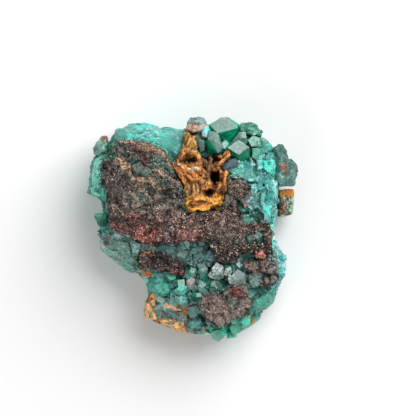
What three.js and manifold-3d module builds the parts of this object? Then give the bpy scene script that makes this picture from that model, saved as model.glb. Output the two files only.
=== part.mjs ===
// A hand specimen of dioptase: a flat-based mass of green rock that carries blocky dioptase crystals,
// plates of brown drusy crust, and a vug filled with pitted limonite.
// Millimetres, +Z up. The origin is the centre of the base, and the specimen rests on its sawn base at z = 0.

import * as THREE from 'three';
import { ConvexGeometry } from 'three/addons/geometries/ConvexGeometry.js';
import { ImprovedNoise } from 'three/addons/math/ImprovedNoise.js';
import { mergeVertices } from 'three/addons/utils/BufferGeometryUtils.js';
import Module from 'manifold-3d';

const wasm = await Module();
wasm.setup();

// ---------------------------------------------------------------- driving dimensions

const GAP = 0.3;                 // clearance between a grown piece and the seat it sits in
const RHOMB_ANGLE = 51;          // degrees between a dioptase crystal's axis and the normal of an end face
const PRISM_RATIO = 2;           // a small crystal's length below its end, as a share of its half width
const CRUST_THICKNESS = 4.5;
const CRUST_BEVEL = 0.5;

// The widest contour of the rock, seen from above.
const ROCK_OUTLINE = [
  [-23.2, 25.6], [-22, 28.4], [-18.8, 29.6], [-17, 30.4], [-12.8, 30.5], [-10, 29.7], [-8.8, 29],
  [-6, 28.9], [-3.8, 28.6], [-1.5, 28.8], [2, 29.4], [6, 29.4], [10, 29.2], [14, 28.8], [17.8, 27.6],
  [20, 25.8], [22.4, 24], [24, 21.6], [24.7, 18.8], [24.8, 15.4], [24.6, 12], [24.6, 8],
  [24, 4.2], [23.4, 1.6], [23.6, -1], [24.2, -4], [25.6, -6.8], [26.7, -9], [26.8, -11],
  [26.2, -13.2], [25, -15.5], [23.9, -18.5], [22.9, -21], [20.5, -23.5], [18.7, -25.8], [16, -27.8],
  [13, -29.4], [10.8, -29.8], [8.6, -29.9], [6, -30.2], [3.4, -29.8], [0, -29.5], [-4, -28.8],
  [-9, -26.9], [-13.2, -25.2], [-13.9, -23.5], [-13.4, -21.2], [-12.6, -18], [-12.7, -14.8],
  [-14.8, -13.4], [-18, -12.5], [-19.8, -10.8], [-24, -7.4], [-26.4, -5.4], [-27.1, -3.5],
  [-27.2, -1.5], [-26.6, 0.2], [-26.2, 2.2], [-25.6, 4.6], [-25.4, 6.4], [-25.6, 8], [-27, 9],
  [-28.7, 10.2], [-28.8, 12.5], [-28.4, 15], [-27.8, 18], [-27, 20.4], [-25.2, 22.2],
];
const ROCK_CENTRE = [-1, 0];

// The rock's side, from the base up and over to the middle, as
// [share of the local height, share of the outline].
const ROCK_PROFILE = [
  [0, 0.84], [0.1, 0.91], [0.27, 0.97], [0.44, 1], [0.6, 0.985], [0.75, 0.96],
  [0.88, 0.92], [0.96, 0.85], [1, 0.7], [1, 0.48], [1, 0.24],
];
const ROCK_ROUGHNESS = 2.4;      // how far a corner of the rock wanders from the smooth form
const ROCK_GRAIN = 6.3;          // distance over which the wandering changes
const ROCK_TOP_ROUGHNESS = 0.5;  // the same for its height

// The rock's height at points across it: [x, y, height].
const ROCK_HEIGHTS = [
  [-20, 20, 24], [-12, 27, 23.5], [-4, 25, 22.5], [8, 27, 22], [18, 23, 22], [20, 14, 23.5],
  [21, 6, 23], [12, 10, 24], [0, 3, 24], [-14, 8, 25], [-23, 10, 22.5], [-24, -2, 19], [-18, -7, 19],
  [-10, -7, 20.5], [0, -7, 19.5], [12, -4, 23], [20, -5, 22.5], [22, -12, 20.5], [13, -13, 19.5],
  [3, -13, 18.5], [-5, -15, 16], [-10, -20, 14.5], [-5, -25, 14], [3, -25, 17.5], [9, -21, 19.5],
  [16, -21, 18], [10, -28, 15.5], [20, -18, 17.5],
];
const HEIGHT_REACH = 3;          // radius round a point of that list in which it sets the height alone

// ---------------------------------------------------------------- materials

const finish = (color, roughness) => new THREE.MeshStandardMaterial({ color, roughness, metalness: 0 });
const GREEN_ROCK = finish(0x3f9a86, 0.6);
const BROWN_DRUSE = finish(0x4a3a38, 0.7);
const EMERALD = finish(0x0c7a55, 0.25);
const PALE_TEAL = finish(0x86b5a8, 0.3);
const SMOKY_TEAL = finish(0x4d7a72, 0.45);
const LIMONITE = finish(0xb87326, 0.8);
const MALACHITE = finish(0x7da57f, 0.75);

// ---------------------------------------------------------------- solids

const noise = new ImprovedNoise();

/** A closed geometry as a solid that can be joined and cut. */
function solidOf(geometry) {
  const bare = geometry.index ? geometry.toNonIndexed() : geometry.clone();
  bare.deleteAttribute('normal');
  bare.deleteAttribute('uv');
  const merged = mergeVertices(bare, 1e-4);
  return new wasm.Manifold(new wasm.Mesh({
    numProp: 3,
    vertProperties: merged.attributes.position.array,
    triVerts: new Uint32Array(merged.index.array),
  }));
}

/** The largest single body of a solid: slivers that a cut leaves behind are dropped. */
function mainBody(solid) {
  return solid.decompose().reduce((a, b) => (b.volume() > a.volume() ? b : a));
}

/** A named mesh of a solid. */
function meshOf(name, solid, material) {
  const { vertProperties, triVerts } = mainBody(solid).getMesh();
  const geometry = new THREE.BufferGeometry();
  geometry.setAttribute('position', new THREE.BufferAttribute(new Float32Array(vertProperties), 3));
  geometry.setIndex(new THREE.BufferAttribute(new Uint32Array(triVerts), 1));
  geometry.computeVertexNormals();
  const mesh = new THREE.Mesh(geometry, material);
  mesh.name = name;
  return mesh;
}

/** Whether the boxes of two solids meet. */
function near(a, b) {
  const [p, q] = [a.boundingBox(), b.boundingBox()];
  return [0, 1, 2].every((i) => p.min[i] < q.max[i] && q.min[i] < p.max[i]);
}

/** A solid with a seat cut in it for each grown shape that reaches it. */
function seated(solid, shapes) {
  return shapes.filter((shape) => near(solid, shape)).reduce((left, shape) => left.subtract(shape), solid);
}

/** The convex hull of points, pushed outwards from their middle by `grow`. */
function hull(points, grow = 0) {
  const middle = points.reduce((sum, p) => sum.add(p), new THREE.Vector3()).divideScalar(points.length);
  const pushed = points.map((p) => {
    const away = p.clone().sub(middle);
    return p.clone().addScaledVector(away.normalize(), grow * 1.4);
  });
  return solidOf(new ConvexGeometry(pushed));
}

/**
 * A dioptase crystal: a six-sided prism closed by three rhombs. One rhomb is turned to the sky.
 * face: that rhomb's middle. tilt: how far its normal leans to +X and +Y. lean: the compass bearing, in
 * degrees from +X, in which the crystal's axis leans away from that normal. size: from axis to side face.
 * root: extra length below, for a crystal that stands on a deep seat.
 */
function crystalPoints({ face, tilt = [0, 0], lean, size, root = 0 }) {
  const up = new THREE.Vector3(tilt[0], tilt[1], 1).normalize();
  const bearing = THREE.MathUtils.degToRad(lean);
  const angle = THREE.MathUtils.degToRad(RHOMB_ANGLE);
  const level = new THREE.Vector3(Math.cos(bearing), Math.sin(bearing), 0);
  level.addScaledVector(up, -level.dot(up)).normalize();
  const axis = up.clone().multiplyScalar(Math.cos(angle)).addScaledVector(level, Math.sin(angle));
  const out = up.clone().multiplyScalar(Math.sin(angle)).addScaledVector(level, -Math.cos(angle));
  const side = new THREE.Vector3().crossVectors(axis, out);
  const corner = size / Math.cos(Math.PI / 6);
  const origin = new THREE.Vector3(...face).addScaledVector(out, -corner / 2);
  const rise = (corner / 2) * Math.tan(angle);
  const length = size * PRISM_RATIO + root;
  const place = (turn, radius, along) => origin.clone()
    .addScaledVector(out, radius * Math.cos(turn))
    .addScaledVector(side, radius * Math.sin(turn))
    .addScaledVector(axis, along);
  const points = [place(0, 0, rise)];
  for (let i = 0; i < 6; i += 1) {
    const turn = (i * Math.PI) / 3;
    points.push(place(turn, corner, i % 2 ? 0 : -rise), place(turn, corner, -length));
  }
  return points;
}

/** Crystals grown together as one solid. */
function crystalGroup(crystals, grow = 0) {
  return crystals
    .map((c) => hull(c.corners ? c.corners.map((p) => new THREE.Vector3(...p)) : crystalPoints(c), grow))
    .reduce((a, b) => a.add(b));
}

/** A rounded lump: a ball stretched to three radii, whose surface wanders by a share of its size. */
function lump({ at, radii, wander = 0.1 }, grow = 0) {
  const geometry = new THREE.IcosahedronGeometry(1, 2);
  const position = geometry.attributes.position;
  const p = new THREE.Vector3();
  for (let i = 0; i < position.count; i += 1) {
    p.fromBufferAttribute(position, i);
    const bump = 1 + wander * 2 * noise.noise(p.x * 1.7 + at[0], p.y * 1.7 + at[1], p.z * 1.7);
    position.setXYZ(i, ...['x', 'y', 'z'].map((k, j) => at[j] + p[k] * (radii[j] * bump + grow)));
  }
  return solidOf(geometry);
}

/**
 * A plate with an outline: bevelled all round, and sheared so that its top follows a slope.
 * top: height of the top over the outline's middle. slope: rise per millimetre along X and Y.
 */
function plate({ outline, top, slope = [0, 0], thickness = CRUST_THICKNESS }, grow = 0) {
  const shape = new THREE.Shape(outline.map(([x, y]) => new THREE.Vector2(x, y)));
  const geometry = new THREE.ExtrudeGeometry(shape, {
    depth: thickness - 2 * CRUST_BEVEL + 2 * grow,
    bevelThickness: CRUST_BEVEL,
    bevelSize: CRUST_BEVEL,
    bevelOffset: grow - CRUST_BEVEL,
    bevelSegments: 1,
  });
  const middle = [0, 1].map((i) => outline.reduce((sum, p) => sum + p[i], 0) / outline.length);
  const position = geometry.attributes.position;
  const lift = top - thickness + CRUST_BEVEL - grow;
  for (let i = 0; i < position.count; i += 1) {
    const shear = slope[0] * (position.getX(i) - middle[0]) + slope[1] * (position.getY(i) - middle[1]);
    position.setZ(i, position.getZ(i) + lift + shear);
  }
  return solidOf(geometry);
}

/** The rock's height over a point: a mean of the listed heights, weighted by nearness. */
function rockHeight(x, y) {
  let weights = 0;
  let sum = 0;
  for (const [px, py, height] of ROCK_HEIGHTS) {
    const weight = 1 / ((x - px) ** 2 + (y - py) ** 2 + HEIGHT_REACH ** 2) ** 2;
    weights += weight;
    sum += weight * height;
  }
  return sum / weights;
}

/** The uncut rock: its outline carried up a profile, ring by ring, and closed over the base and the top. */
function rock() {
  const [cx, cy] = ROCK_CENTRE;
  const count = ROCK_OUTLINE.length;
  const vertices = [];
  for (const [rise, share] of ROCK_PROFILE) {
    for (const [ox, oy] of ROCK_OUTLINE) {
      const x = cx + (ox - cx) * share;
      const y = cy + (oy - cy) * share;
      const z = rise * rockHeight(x, y);
      const wander = (shift) => noise.noise(x / ROCK_GRAIN + shift, y / ROCK_GRAIN, z / ROCK_GRAIN);
      const inward = ROCK_ROUGHNESS * Math.min(0, 1.4 * wander(0) - 0.05);
      const length = Math.hypot(ox - cx, oy - cy);
      vertices.push(x + (inward * (ox - cx)) / length, y + (inward * (oy - cy)) / length,
        rise ? z + ROCK_TOP_ROUGHNESS * wander(9) : 0);
    }
  }
  const faces = [];
  for (let ring = 0; ring + 1 < ROCK_PROFILE.length; ring += 1) {
    for (let i = 0; i < count; i += 1) {
      const a = ring * count + i;
      const b = ring * count + ((i + 1) % count);
      faces.push(a, a + count, b, b, a + count, b + count);
    }
  }
  const cap = (ring, z, turned) => {
    const middle = vertices.length / 3;
    vertices.push(cx, cy, z);
    for (let i = 0; i < count; i += 1) {
      const a = ring * count + i;
      const b = ring * count + ((i + 1) % count);
      faces.push(middle, ...(turned ? [b, a] : [a, b]));
    }
  };
  cap(0, 0, false);
  cap(ROCK_PROFILE.length - 1, rockHeight(cx, cy), true);
  const geometry = new THREE.BufferGeometry();
  geometry.setAttribute('position', new THREE.Float32BufferAttribute(vertices, 3));
  geometry.setIndex(faces);
  return solidOf(geometry);
}

// ---------------------------------------------------------------- crystals

const CRYSTALS = {
  // The large pair at the top: one block with a broad back face, and a slimmer prism leaning on it.
  crystals_large_pair: [EMERALD, [
    { corners: [
      [4.9, 29.6, 24.2], [8.2, 31.6, 22.8], [10.2, 31.7, 22.6], [13.2, 29.7, 23.6], [12.8, 28.6, 24.8],
      [7.1, 27.1, 26.2], [8.3, 23.9, 20.6], [11.6, 24.5, 20.8], [13.8, 27, 20.2], [5.2, 27.4, 22.6],
      [5.6, 29.4, 15], [12.6, 29.2, 15], [12, 25, 15], [7, 25, 15],
    ] },
    { corners: [
      [4.4, 25.3, 25.6], [4.8, 28, 25.4], [7.2, 27.3, 26.2], [6.2, 25, 26.4], [9, 23, 24.8],
      [7.4, 21.4, 24.2], [3.9, 24.6, 23.4], [4.4, 21.7, 20.4], [6.8, 20.8, 20.6], [8.9, 22.6, 18],
      [4.8, 27.6, 15], [7.4, 25.6, 15], [7.2, 22.4, 15], [4.4, 23, 15],
    ] },
  ]],
  crystal_square: [PALE_TEAL, [
    { corners: [
      [9.7, 23.1, 26], [13.1, 25.2, 26.2], [16.1, 23.2, 26.6], [13.1, 21, 26.2],
      [10.6, 20.5, 22.6], [13.6, 18.8, 22.2], [16.2, 20, 22.8], [16.8, 22.2, 24],
      [14.2, 24.9, 15], [10.6, 22.6, 15], [13, 20.2, 15], [15.8, 22, 15],
    ] },
  ]],
  crystal_bar: [PALE_TEAL, [
    { face: [14.3, 26.6, 25], tilt: [0.1, 0.15], lean: 50, size: 1.35, root: 4.5 },
  ]],
  crystal_knob: [SMOKY_TEAL, [
    { corners: [
      [-1.3, 30.3, 22.6], [-0.5, 31.6, 21.8], [1.8, 32, 22], [3.4, 31.4, 22.2], [4.1, 30.3, 22.6],
      [3.2, 28.2, 24.6], [0.6, 27.4, 24.8], [-1.5, 28.4, 24], [1.4, 30, 25.2],
      [-0.6, 30.4, 15], [3.2, 30.4, 15], [2.6, 26, 14], [-0.4, 26, 14],
    ] },
    { corners: [
      [3, 29.3, 24], [4.9, 29.6, 23.4], [5.2, 27, 24.4], [4.4, 25.9, 24.8], [3, 26.5, 24.6],
      [3.4, 29, 15], [5, 29, 15], [4.8, 26, 15], [3, 26.4, 15],
    ] },
  ]],
  crystals_top_lobe: [SMOKY_TEAL, [
    { corners: [
      [13.6, 29.5, 22.8], [15, 30.2, 21.8], [16.6, 30.1, 21.2], [18.4, 29.2, 20.8], [19.7, 27.5, 20.6],
      [19.2, 26.5, 22.4], [17.2, 27, 24.2], [15.4, 27.4, 24.6], [13.9, 28.3, 24.4],
      [14.4, 29, 12], [18.6, 27.8, 12], [18.4, 23.8, 14], [15.4, 24, 14],
    ] },
  ]],
  crystals_upper_right: [PALE_TEAL, [
    { corners: [
      [15.6, 25.2, 24.6], [17.2, 26.5, 24], [19.2, 25.8, 23.2], [20.2, 24.2, 22.8], [19.4, 23.3, 23.6],
      [16.6, 23.3, 25], [16.4, 25.6, 15], [19, 24.8, 15], [18, 23.4, 15],
    ] },
    { corners: [
      [16.9, 22.9, 25.2], [18.8, 23.1, 24.6], [19.4, 21.6, 24.2], [18.4, 19.4, 23.8], [16.9, 20.2, 24.6],
      [17.2, 22.4, 15], [18.8, 22.2, 15], [18.2, 20.2, 15],
    ] },
  ]],
  crystal_smoky: [SMOKY_TEAL, [
    { corners: [
      [1.7, 25.4, 23.6], [3.4, 25.2, 23.8], [3.5, 22.4, 22.8], [2.2, 21.6, 22.2],
      [1.6, 24.8, 15], [3.4, 25, 15], [3.4, 22, 15], [2, 21.4, 15],
    ] },
  ]],
  crystal_blue_grey: [SMOKY_TEAL, [
    { face: [10.6, 18.4, 25.2], tilt: [-0.3, -0.1], lean: 200, size: 1.2 },
  ]],
  // The dark lobes behind the right shoulder.
  crystals_right_lobe: [SMOKY_TEAL, [
    { corners: [
      [23.4, 23.2, 17.2], [24.6, 23.9, 16], [25.6, 23.8, 15.4], [26.6, 22, 15], [27.1, 20.4, 14.4],
      [24.6, 20.6, 18.4], [25.4, 19, 17.6], [24.6, 23, 9], [26.4, 20.6, 8], [25.6, 18.6, 9],
      [21.4, 21.4, 15], [21.4, 19, 10],
    ] },
    { corners: [
      [26.6, 20.2, 16], [28.4, 19.9, 14], [29.4, 18.6, 13.2], [30, 16.6, 12], [29.6, 14, 12.4],
      [29, 12.4, 13.4], [25.8, 12.4, 16.6], [25.9, 17, 17.4], [27.4, 18.4, 16.6], [28, 15, 15.8],
      [26.4, 18.8, 7], [28.6, 17.4, 6.6], [28.6, 13.4, 6.8], [26, 12.8, 7.4],
      [22.4, 18, 14], [22.4, 13.4, 12],
    ] },
  ]],
  // Small blocks on the step below the middle crust.
  crystals_step_left: [SMOKY_TEAL, [
    { face: [-6.2, -5.4, 22.6], tilt: [-0.06, 0.12], lean: 65, size: 1.7 },
    { face: [-2.7, -6.5, 23], tilt: [0.08, 0.1], lean: 110, size: 1.95 },
    { face: [-0.7, -4.9, 22], tilt: [0.16, -0.04], lean: 30, size: 1.1 },
  ]],
  crystals_step_right: [SMOKY_TEAL, [
    { face: [1.9, -4.9, 22.2], tilt: [-0.1, 0.1], lean: 140, size: 1.5 },
    { face: [1.2, -7.7, 21.6], tilt: [0.06, -0.1], lean: 60, size: 0.95 },
    { face: [3.7, -7.4, 21.7], tilt: [0.1, 0.12], lean: 20, size: 1.15 },
  ]],
  crystal_step_end: [SMOKY_TEAL, [
    { face: [5.1, -9, 21.4], tilt: [0.1, 0.1], lean: 80, size: 0.8 },
  ]],
  // Blocks in the trough between the lower crusts.
  crystal_trough_left: [PALE_TEAL, [
    { face: [0.2, -11.4, 21.4], tilt: [0.1, 0.16], lean: 120, size: 1.15 },
  ]],
  crystal_trough_middle: [EMERALD, [
    { face: [3.2, -10.7, 21], tilt: [-0.05, 0.3], lean: 75, size: 1.35 },
  ]],
  crystal_white_left: [PALE_TEAL, [
    { face: [7.2, -10.6, 23.2], tilt: [0.12, 0.2], lean: 100, size: 1.75 },
    { face: [6, -12, 22.4], tilt: [0.1, 0.2], lean: 60, size: 0.95 },
  ]],
  crystals_white_right: [PALE_TEAL, [
    { face: [10.4, -11.2, 23], tilt: [0.12, 0.2], lean: 70, size: 1.05 },
    { face: [11, -13.4, 22.6], tilt: [0.12, 0.2], lean: 110, size: 1 },
    { face: [13, -12.8, 23], tilt: [0.02, 0.08], lean: 95, size: 2 },
  ]],
  crystal_pink_veil: [SMOKY_TEAL, [
    { face: [-0.3, -14.3, 20.6], tilt: [0.1, 0.1], lean: 100, size: 1.35 },
  ]],
  crystal_pale_tooth: [PALE_TEAL, [
    { face: [-3.2, -15.4, 20.4], tilt: [0.1, 0.2], lean: 90, size: 1.05, root: 2 },
  ]],
  crystals_emerald_trough: [EMERALD, [
    { face: [0.9, -17.2, 19.4], tilt: [0.2, -0.35], lean: 150, size: 1.35 },
    { face: [2.9, -14.9, 20.6], tilt: [0.5, 0.1], lean: 200, size: 1.3 },
  ]],
  crystal_rhomb: [PALE_TEAL, [
    { face: [6.8, -15.2, 21.6], tilt: [0.06, 0.16], lean: 85, size: 1.7 },
  ]],
  crystal_point: [EMERALD, [
    { corners: [
      [5.2, -28.9, 15.6], [7.2, -28.3, 17.4], [8.9, -28.8, 16], [9, -30.6, 13], [7.4, -32, 11.6],
      [5.6, -31, 12.4], [7.2, -30.2, 16.4], [5.8, -28.4, 8], [8.6, -28.4, 8], [7.4, -30.8, 7.4],
    ] },
  ]],
  crystals_lower_right: [EMERALD, [
    { face: [12.2, -28.3, 16.6], tilt: [0.25, -0.35], lean: 250, size: 1.8 },
    { face: [11.8, -26, 18.6], tilt: [-0.2, -0.5], lean: 240, size: 1.2 },
  ]],
  crystals_on_right_crust: [SMOKY_TEAL, [
    { face: [18.5, -1.5, 25.9], tilt: [0.04, 0.1], lean: 100, size: 1.5 },
    { face: [16.4, -2.1, 25.7], tilt: [-0.04, 0.08], lean: 80, size: 1.2 },
  ]],
  crystal_dark_bar: [EMERALD, [
    { corners: [
      [14, -7.2, 24.6], [17.6, -7, 24.8], [18.2, -7.6, 24.4], [14.2, -8, 24],
      [14, -7.2, 18], [17.8, -7, 18], [18, -8, 18], [14.2, -8.1, 18],
    ] },
  ]],
  crystals_emerald_left: [EMERALD, [
    { corners: [
      [-27.7, 4.5, 15], [-26.2, 4.8, 18.4], [-24.2, 4.4, 21.6], [-23.8, 1.4, 21.2], [-26.6, 1.2, 17],
      [-27.8, 3.4, 14.2], [-25.6, 0.4, 19], [-24.4, 4, 10], [-24, 1, 10], [-26.8, 3.4, 10],
    ] },
  ]],
  crystal_left_wedge: [SMOKY_TEAL, [
    { corners: [
      [-30, 10.4, 15], [-29.4, 12.4, 14], [-28.4, 13.6, 15.4], [-27.2, 12.8, 18.4], [-27, 10.2, 18.6],
      [-28, 9.4, 16.4], [-29.4, 10.8, 10], [-28.2, 12.8, 9], [-27.4, 10.2, 9], [-25, 12.2, 12],
      [-25, 10.6, 12],
    ] },
  ]],
  crystal_left_bar: [EMERALD, [
    { corners: [
      [-24.5, 11.6, 23.6], [-23.8, 11.6, 24], [-24, 8, 23.6], [-24.7, 8, 22.8],
      [-24.6, 11.6, 17], [-23.9, 11.6, 17], [-24, 8, 17], [-24.8, 8, 17],
    ] },
  ]],
  crystals_on_left_crust: [SMOKY_TEAL, [
    { face: [-14.9, 17.5, 27.5], tilt: [0.02, 0.05], lean: 70, size: 2.1, root: 1 },
    { face: [-12.7, 16.4, 27.5], tilt: [0.06, 0.03], lean: 95, size: 1.7, root: 1 },
  ]],
};

// ---------------------------------------------------------------- rounded lumps

const LUMPS = {
  crystal_mass_left: [GREEN_ROCK, { at: [-8.9, -15.6, 15.6], radii: [3.7, 3, 3.4] }],
  crystal_mass_middle: [PALE_TEAL, { at: [-3.6, -19, 16.6], radii: [2.3, 2.4, 2.9] }],
  crystal_mass_bottom: [SMOKY_TEAL, { at: [1.1, -26.9, 16], radii: [2.6, 1.9, 3] }],
};

// ---------------------------------------------------------------- crusts of brown druse

// Each crust is one grown patch: terraces at their own heights and slopes, joined where they meet.
const CRUSTS = {
  druse_crust_main: [
    // the high terrace at the upper left
    { top: 27.3, slope: [0.02, 0.03], outline: [
      [-21.3, 25], [-17.5, 24.7], [-14.2, 24.5], [-11, 23.6], [-8.4, 22.4], [-6.8, 20.6], [-5.6, 18],
      [-4.8, 15], [-7.6, 13.2], [-12, 12.6], [-18, 12.2], [-23.6, 12.2], [-25.2, 13],
      [-25, 15.5], [-25.2, 17.5], [-24.2, 20.2], [-23.4, 22.2], [-21.8, 22.8],
    ] },
    // the step below it
    { top: 26.4, slope: [0.02, 0.04], outline: [
      [-24.8, 13.2], [-16, 13.4], [-8, 14], [-4.2, 14.6], [-2.9, 12.4], [-2.4, 10.8], [-2.2, 7],
      [-5, 4.2], [-10.5, 4.6], [-17, 3.2], [-22.8, 3.6], [-23.8, 5.8], [-23.6, 7.4], [-23, 9.5],
      [-23.8, 12],
    ] },
    // the red ledge at the left
    { top: 25.3, slope: [0.05, 0.04], outline: [
      [-22.8, 4.3], [-17, 4.2], [-11.6, 4.8], [-7, 2.4], [-5.2, 0.6], [-6.2, -2.8], [-10.4, -4.4],
      [-14, -3.6], [-17.2, -2.6], [-19.4, -1.6], [-21.8, -0.6], [-23.2, 0.9],
    ] },
    // the sparkling middle, below the vug
    { top: 26.4, slope: [0.01, 0.04], outline: [
      [-10.2, 8.6], [-7, 8.9], [-3.6, 8.4], [-2.4, 6], [-1.2, 4.6], [3.6, 4.8], [8.2, 4.9],
      [9.4, 7.6], [10.8, 8.2], [12.4, 6.8], [13.6, 4.8], [13.6, 0.8], [6.6, -1.6],
      [4.4, -3], [1.5, -3.2], [-2.5, -3.6], [-7.8, -3.8], [-8.4, 0.8], [-10.2, 2.8], [-11, 5.6],
    ] },
    // the dark band at the right
    { top: 25.5, slope: [0, 0.06], outline: [
      [8.1, 1.6], [13.8, 2.2], [15.8, 1.8], [21.6, 1.8], [22.5, -0.4], [22.1, -3.4], [22.6, -6.6],
      [19, -6.6], [14.2, -6.5], [12.8, -8.5], [8.2, -8.8], [6.4, -7.9], [5.4, -4.6], [4.4, -2.4],
      [3.9, -0.2],
    ] },
  ],
  druse_crust_right_lower: [
    { top: 23.8, slope: [0, 0.04], outline: [
      [13.6, -8.7], [17.5, -9.1], [22.6, -7.4], [23.6, -10.4], [22.8, -12], [18, -11.8], [15.5, -11.2],
      [13.8, -10],
    ] },
  ],
  druse_crust_right_edge: [
    { top: 22.2, slope: [-0.05, 0.03], outline: [
      [19.6, -13.2], [22.2, -12.8], [24.2, -12.7], [24.4, -14.2], [22.8, -15.5], [20.2, -15.8],
    ] },
  ],
  druse_crust_lower_left: [
    { top: 22.8, slope: [0.02, 0.02], outline: [
      [-14.6, -5.8], [-11.5, -6.1], [-8.6, -6.3], [-5.8, -7.8], [-3.4, -9.4], [-1.9, -10.8],
      [-2, -13], [-6, -12], [-10, -11.2], [-14.4, -10.4], [-15.6, -8.6],
    ] },
  ],
  druse_crust_bottom: [
    { top: 21.9, slope: [0, 0.05], outline: [
      [3.2, -18.4], [6.4, -17.6], [8.6, -18.2], [12, -19.6], [15.9, -18.8], [17, -20.8],
      [16.2, -22.6], [14.8, -24.6], [11, -25.2], [9.4, -27.4], [7.4, -27.8], [5.2, -26],
      [3.4, -24], [2, -21.6], [2.2, -19.2],
    ] },
    { top: 22.7, slope: [0.02, 0.05], outline: [
      [8.4, -17.2], [10.4, -16], [15.1, -15.6], [15.6, -18.3], [12.2, -19.9], [9.4, -18.6],
    ] },
  ],
  druse_crust_upper_right: [
    { top: 26.5, slope: [0, -0.03], outline: [
      [10.4, 15.2], [12.6, 14.4], [14.6, 13.2], [16.8, 12.2], [16.4, 10.5], [15, 9], [13.6, 8.6],
      [11.8, 9.2], [10.4, 10.6],
    ] },
  ],
};

// ---------------------------------------------------------------- limonite and side chips

const LIMONITE_TOP = 24.6;
const LIMONITE_DEPTH = 9;
const VUG_OUTLINE = [
  [-1.9, 27], [0.4, 25.9], [0.9, 24], [0.8, 22.4], [1.6, 21], [4.2, 20], [7.4, 20.6], [8.6, 20.4],
  [8.8, 17.6], [9.7, 16], [9.7, 12], [8.8, 10], [8.6, 8.4], [7.6, 5.8], [4, 5.6], [0, 5.6],
  [-1.6, 7], [-1.6, 9], [-2.3, 10.8], [-2, 12.6], [-3.8, 14.8], [-4.8, 18], [-3.8, 20],
  [-2.8, 22], [-2, 24],
];
const VUG_PITS = [
  { at: [-0.8, 19.8, 24.8], radii: [2, 1.6, 2.8], wander: 0.15 },
  { at: [6.8, 15, 25.4], radii: [1.3, 2.2, 5.4], wander: 0.15 },
  { at: [4.6, 10.5, 25], radii: [1.1, 1.1, 3.6], wander: 0.1 },
  { at: [4, 18.4, 25.4], radii: [1.2, 1.2, 4], wander: 0.15 },
  { at: [2.8, 7.1, 25.4], radii: [2.9, 0.8, 2.2], wander: 0.05 },
];

/** The limonite that fills the vug, with its pits. */
function limoniteFill(grow = 0) {
  const block = plate({ outline: VUG_OUTLINE, top: LIMONITE_TOP, thickness: LIMONITE_DEPTH }, grow);
  return grow ? block : VUG_PITS.reduce((left, pit) => left.subtract(lump(pit)), block);
}

const SEAMS = {
  limonite_seam_left: [LIMONITE, { top: 15.2, slope: [0.25, 0], thickness: 3, outline: [
    [-10.9, -20.2], [-11, -21.8], [-11.5, -23.4], [-10.5, -25.2], [-12.3, -25],
    [-12.9, -23.2], [-12.7, -21.4],
  ] }],
  limonite_seam_bottom: [LIMONITE, { top: 14.6, slope: [0.05, 0.25], thickness: 3, outline: [
    [-9.2, -25.8], [-6.6, -25.5], [-4.4, -26.6], [-2.2, -25.6], [-1.9, -27.6], [0, -29],
    [-3.6, -28.4], [-7, -27],
  ] }],
};

const CHIPS = {
  malachite_chip: [MALACHITE, [
    [24.9, 11.2, 11], [28.9, 11.4, 9.6], [28.8, 8, 9.2], [28.6, 4.4, 8.8], [26, 3.6, 9.6], [24.6, 3.8, 10],
    [25.4, 7, 11.6], [24.6, 10.8, 4], [28.4, 10.8, 4.4], [28, 4.8, 4.4], [24.4, 4.4, 4.2],
  ]],
  gossan_chip: [MALACHITE, [
    [-27.7, 23.2, 13], [-27.9, 21.8, 12], [-26.6, 20.9, 15], [-24.9, 22.6, 18.4], [-24, 25.2, 17.6],
    [-24.4, 26.3, 14.4], [-25.7, 26, 13], [-26.6, 24.6, 14.4], [-25.2, 24.6, 8], [-26.6, 22, 8],
    [-24.6, 22.4, 8],
  ]],
};

// ---------------------------------------------------------------- assembly

const specimen = new THREE.Group();
const seats = [];      // every grown shape that later pieces must leave room for

/** Adds a piece, cut to leave room for what is there already, and keeps its seat for what comes later. */
function add(name, solid, seat, material) {
  specimen.add(meshOf(name, seated(solid, seats), material));
  seats.push(seat);
}

for (const [name, [material, crystals]] of Object.entries(CRYSTALS)) {
  add(name, crystalGroup(crystals), crystalGroup(crystals, GAP), material);
}
for (const [name, [material, corners]] of Object.entries(CHIPS)) {
  const points = corners.map((p) => new THREE.Vector3(...p));
  add(name, hull(points), hull(points, GAP), material);
}
for (const [name, [material, form]] of Object.entries(LUMPS)) {
  add(name, lump(form), lump(form, GAP), material);
}
for (const [name, [material, form]] of Object.entries(SEAMS)) {
  add(name, plate(form), plate(form, GAP), material);
}
add('limonite_fill', limoniteFill(), limoniteFill(GAP), LIMONITE);
for (const [name, terraces] of Object.entries(CRUSTS)) {
  const crust = (grow) => terraces.map((form) => plate(form, grow)).reduce((a, b) => a.add(b));
  add(name, crust(0), crust(GAP), BROWN_DRUSE);
}
specimen.add(meshOf('matrix', seated(rock(), seats), GREEN_ROCK));

export default specimen;
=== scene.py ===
# %% [markdown]
# # A dioptase specimen
#
# A hand specimen of dioptase lies on its sawn back. Green crystals, brown glittering crusts and a pocket of
# ochre limonite have grown on a mass of turquoise rock. The CAD frame holds each mineral body as a plain
# faceted solid; here every one of them gets its real surface.
#
# This first cell loads the frame. Everything after it is built in the same coordinates, so nothing has to be
# fitted: +Z is up, +Y runs towards the large crystals, and the base lies on z = 0.

# %% Load the frame
import math

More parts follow.
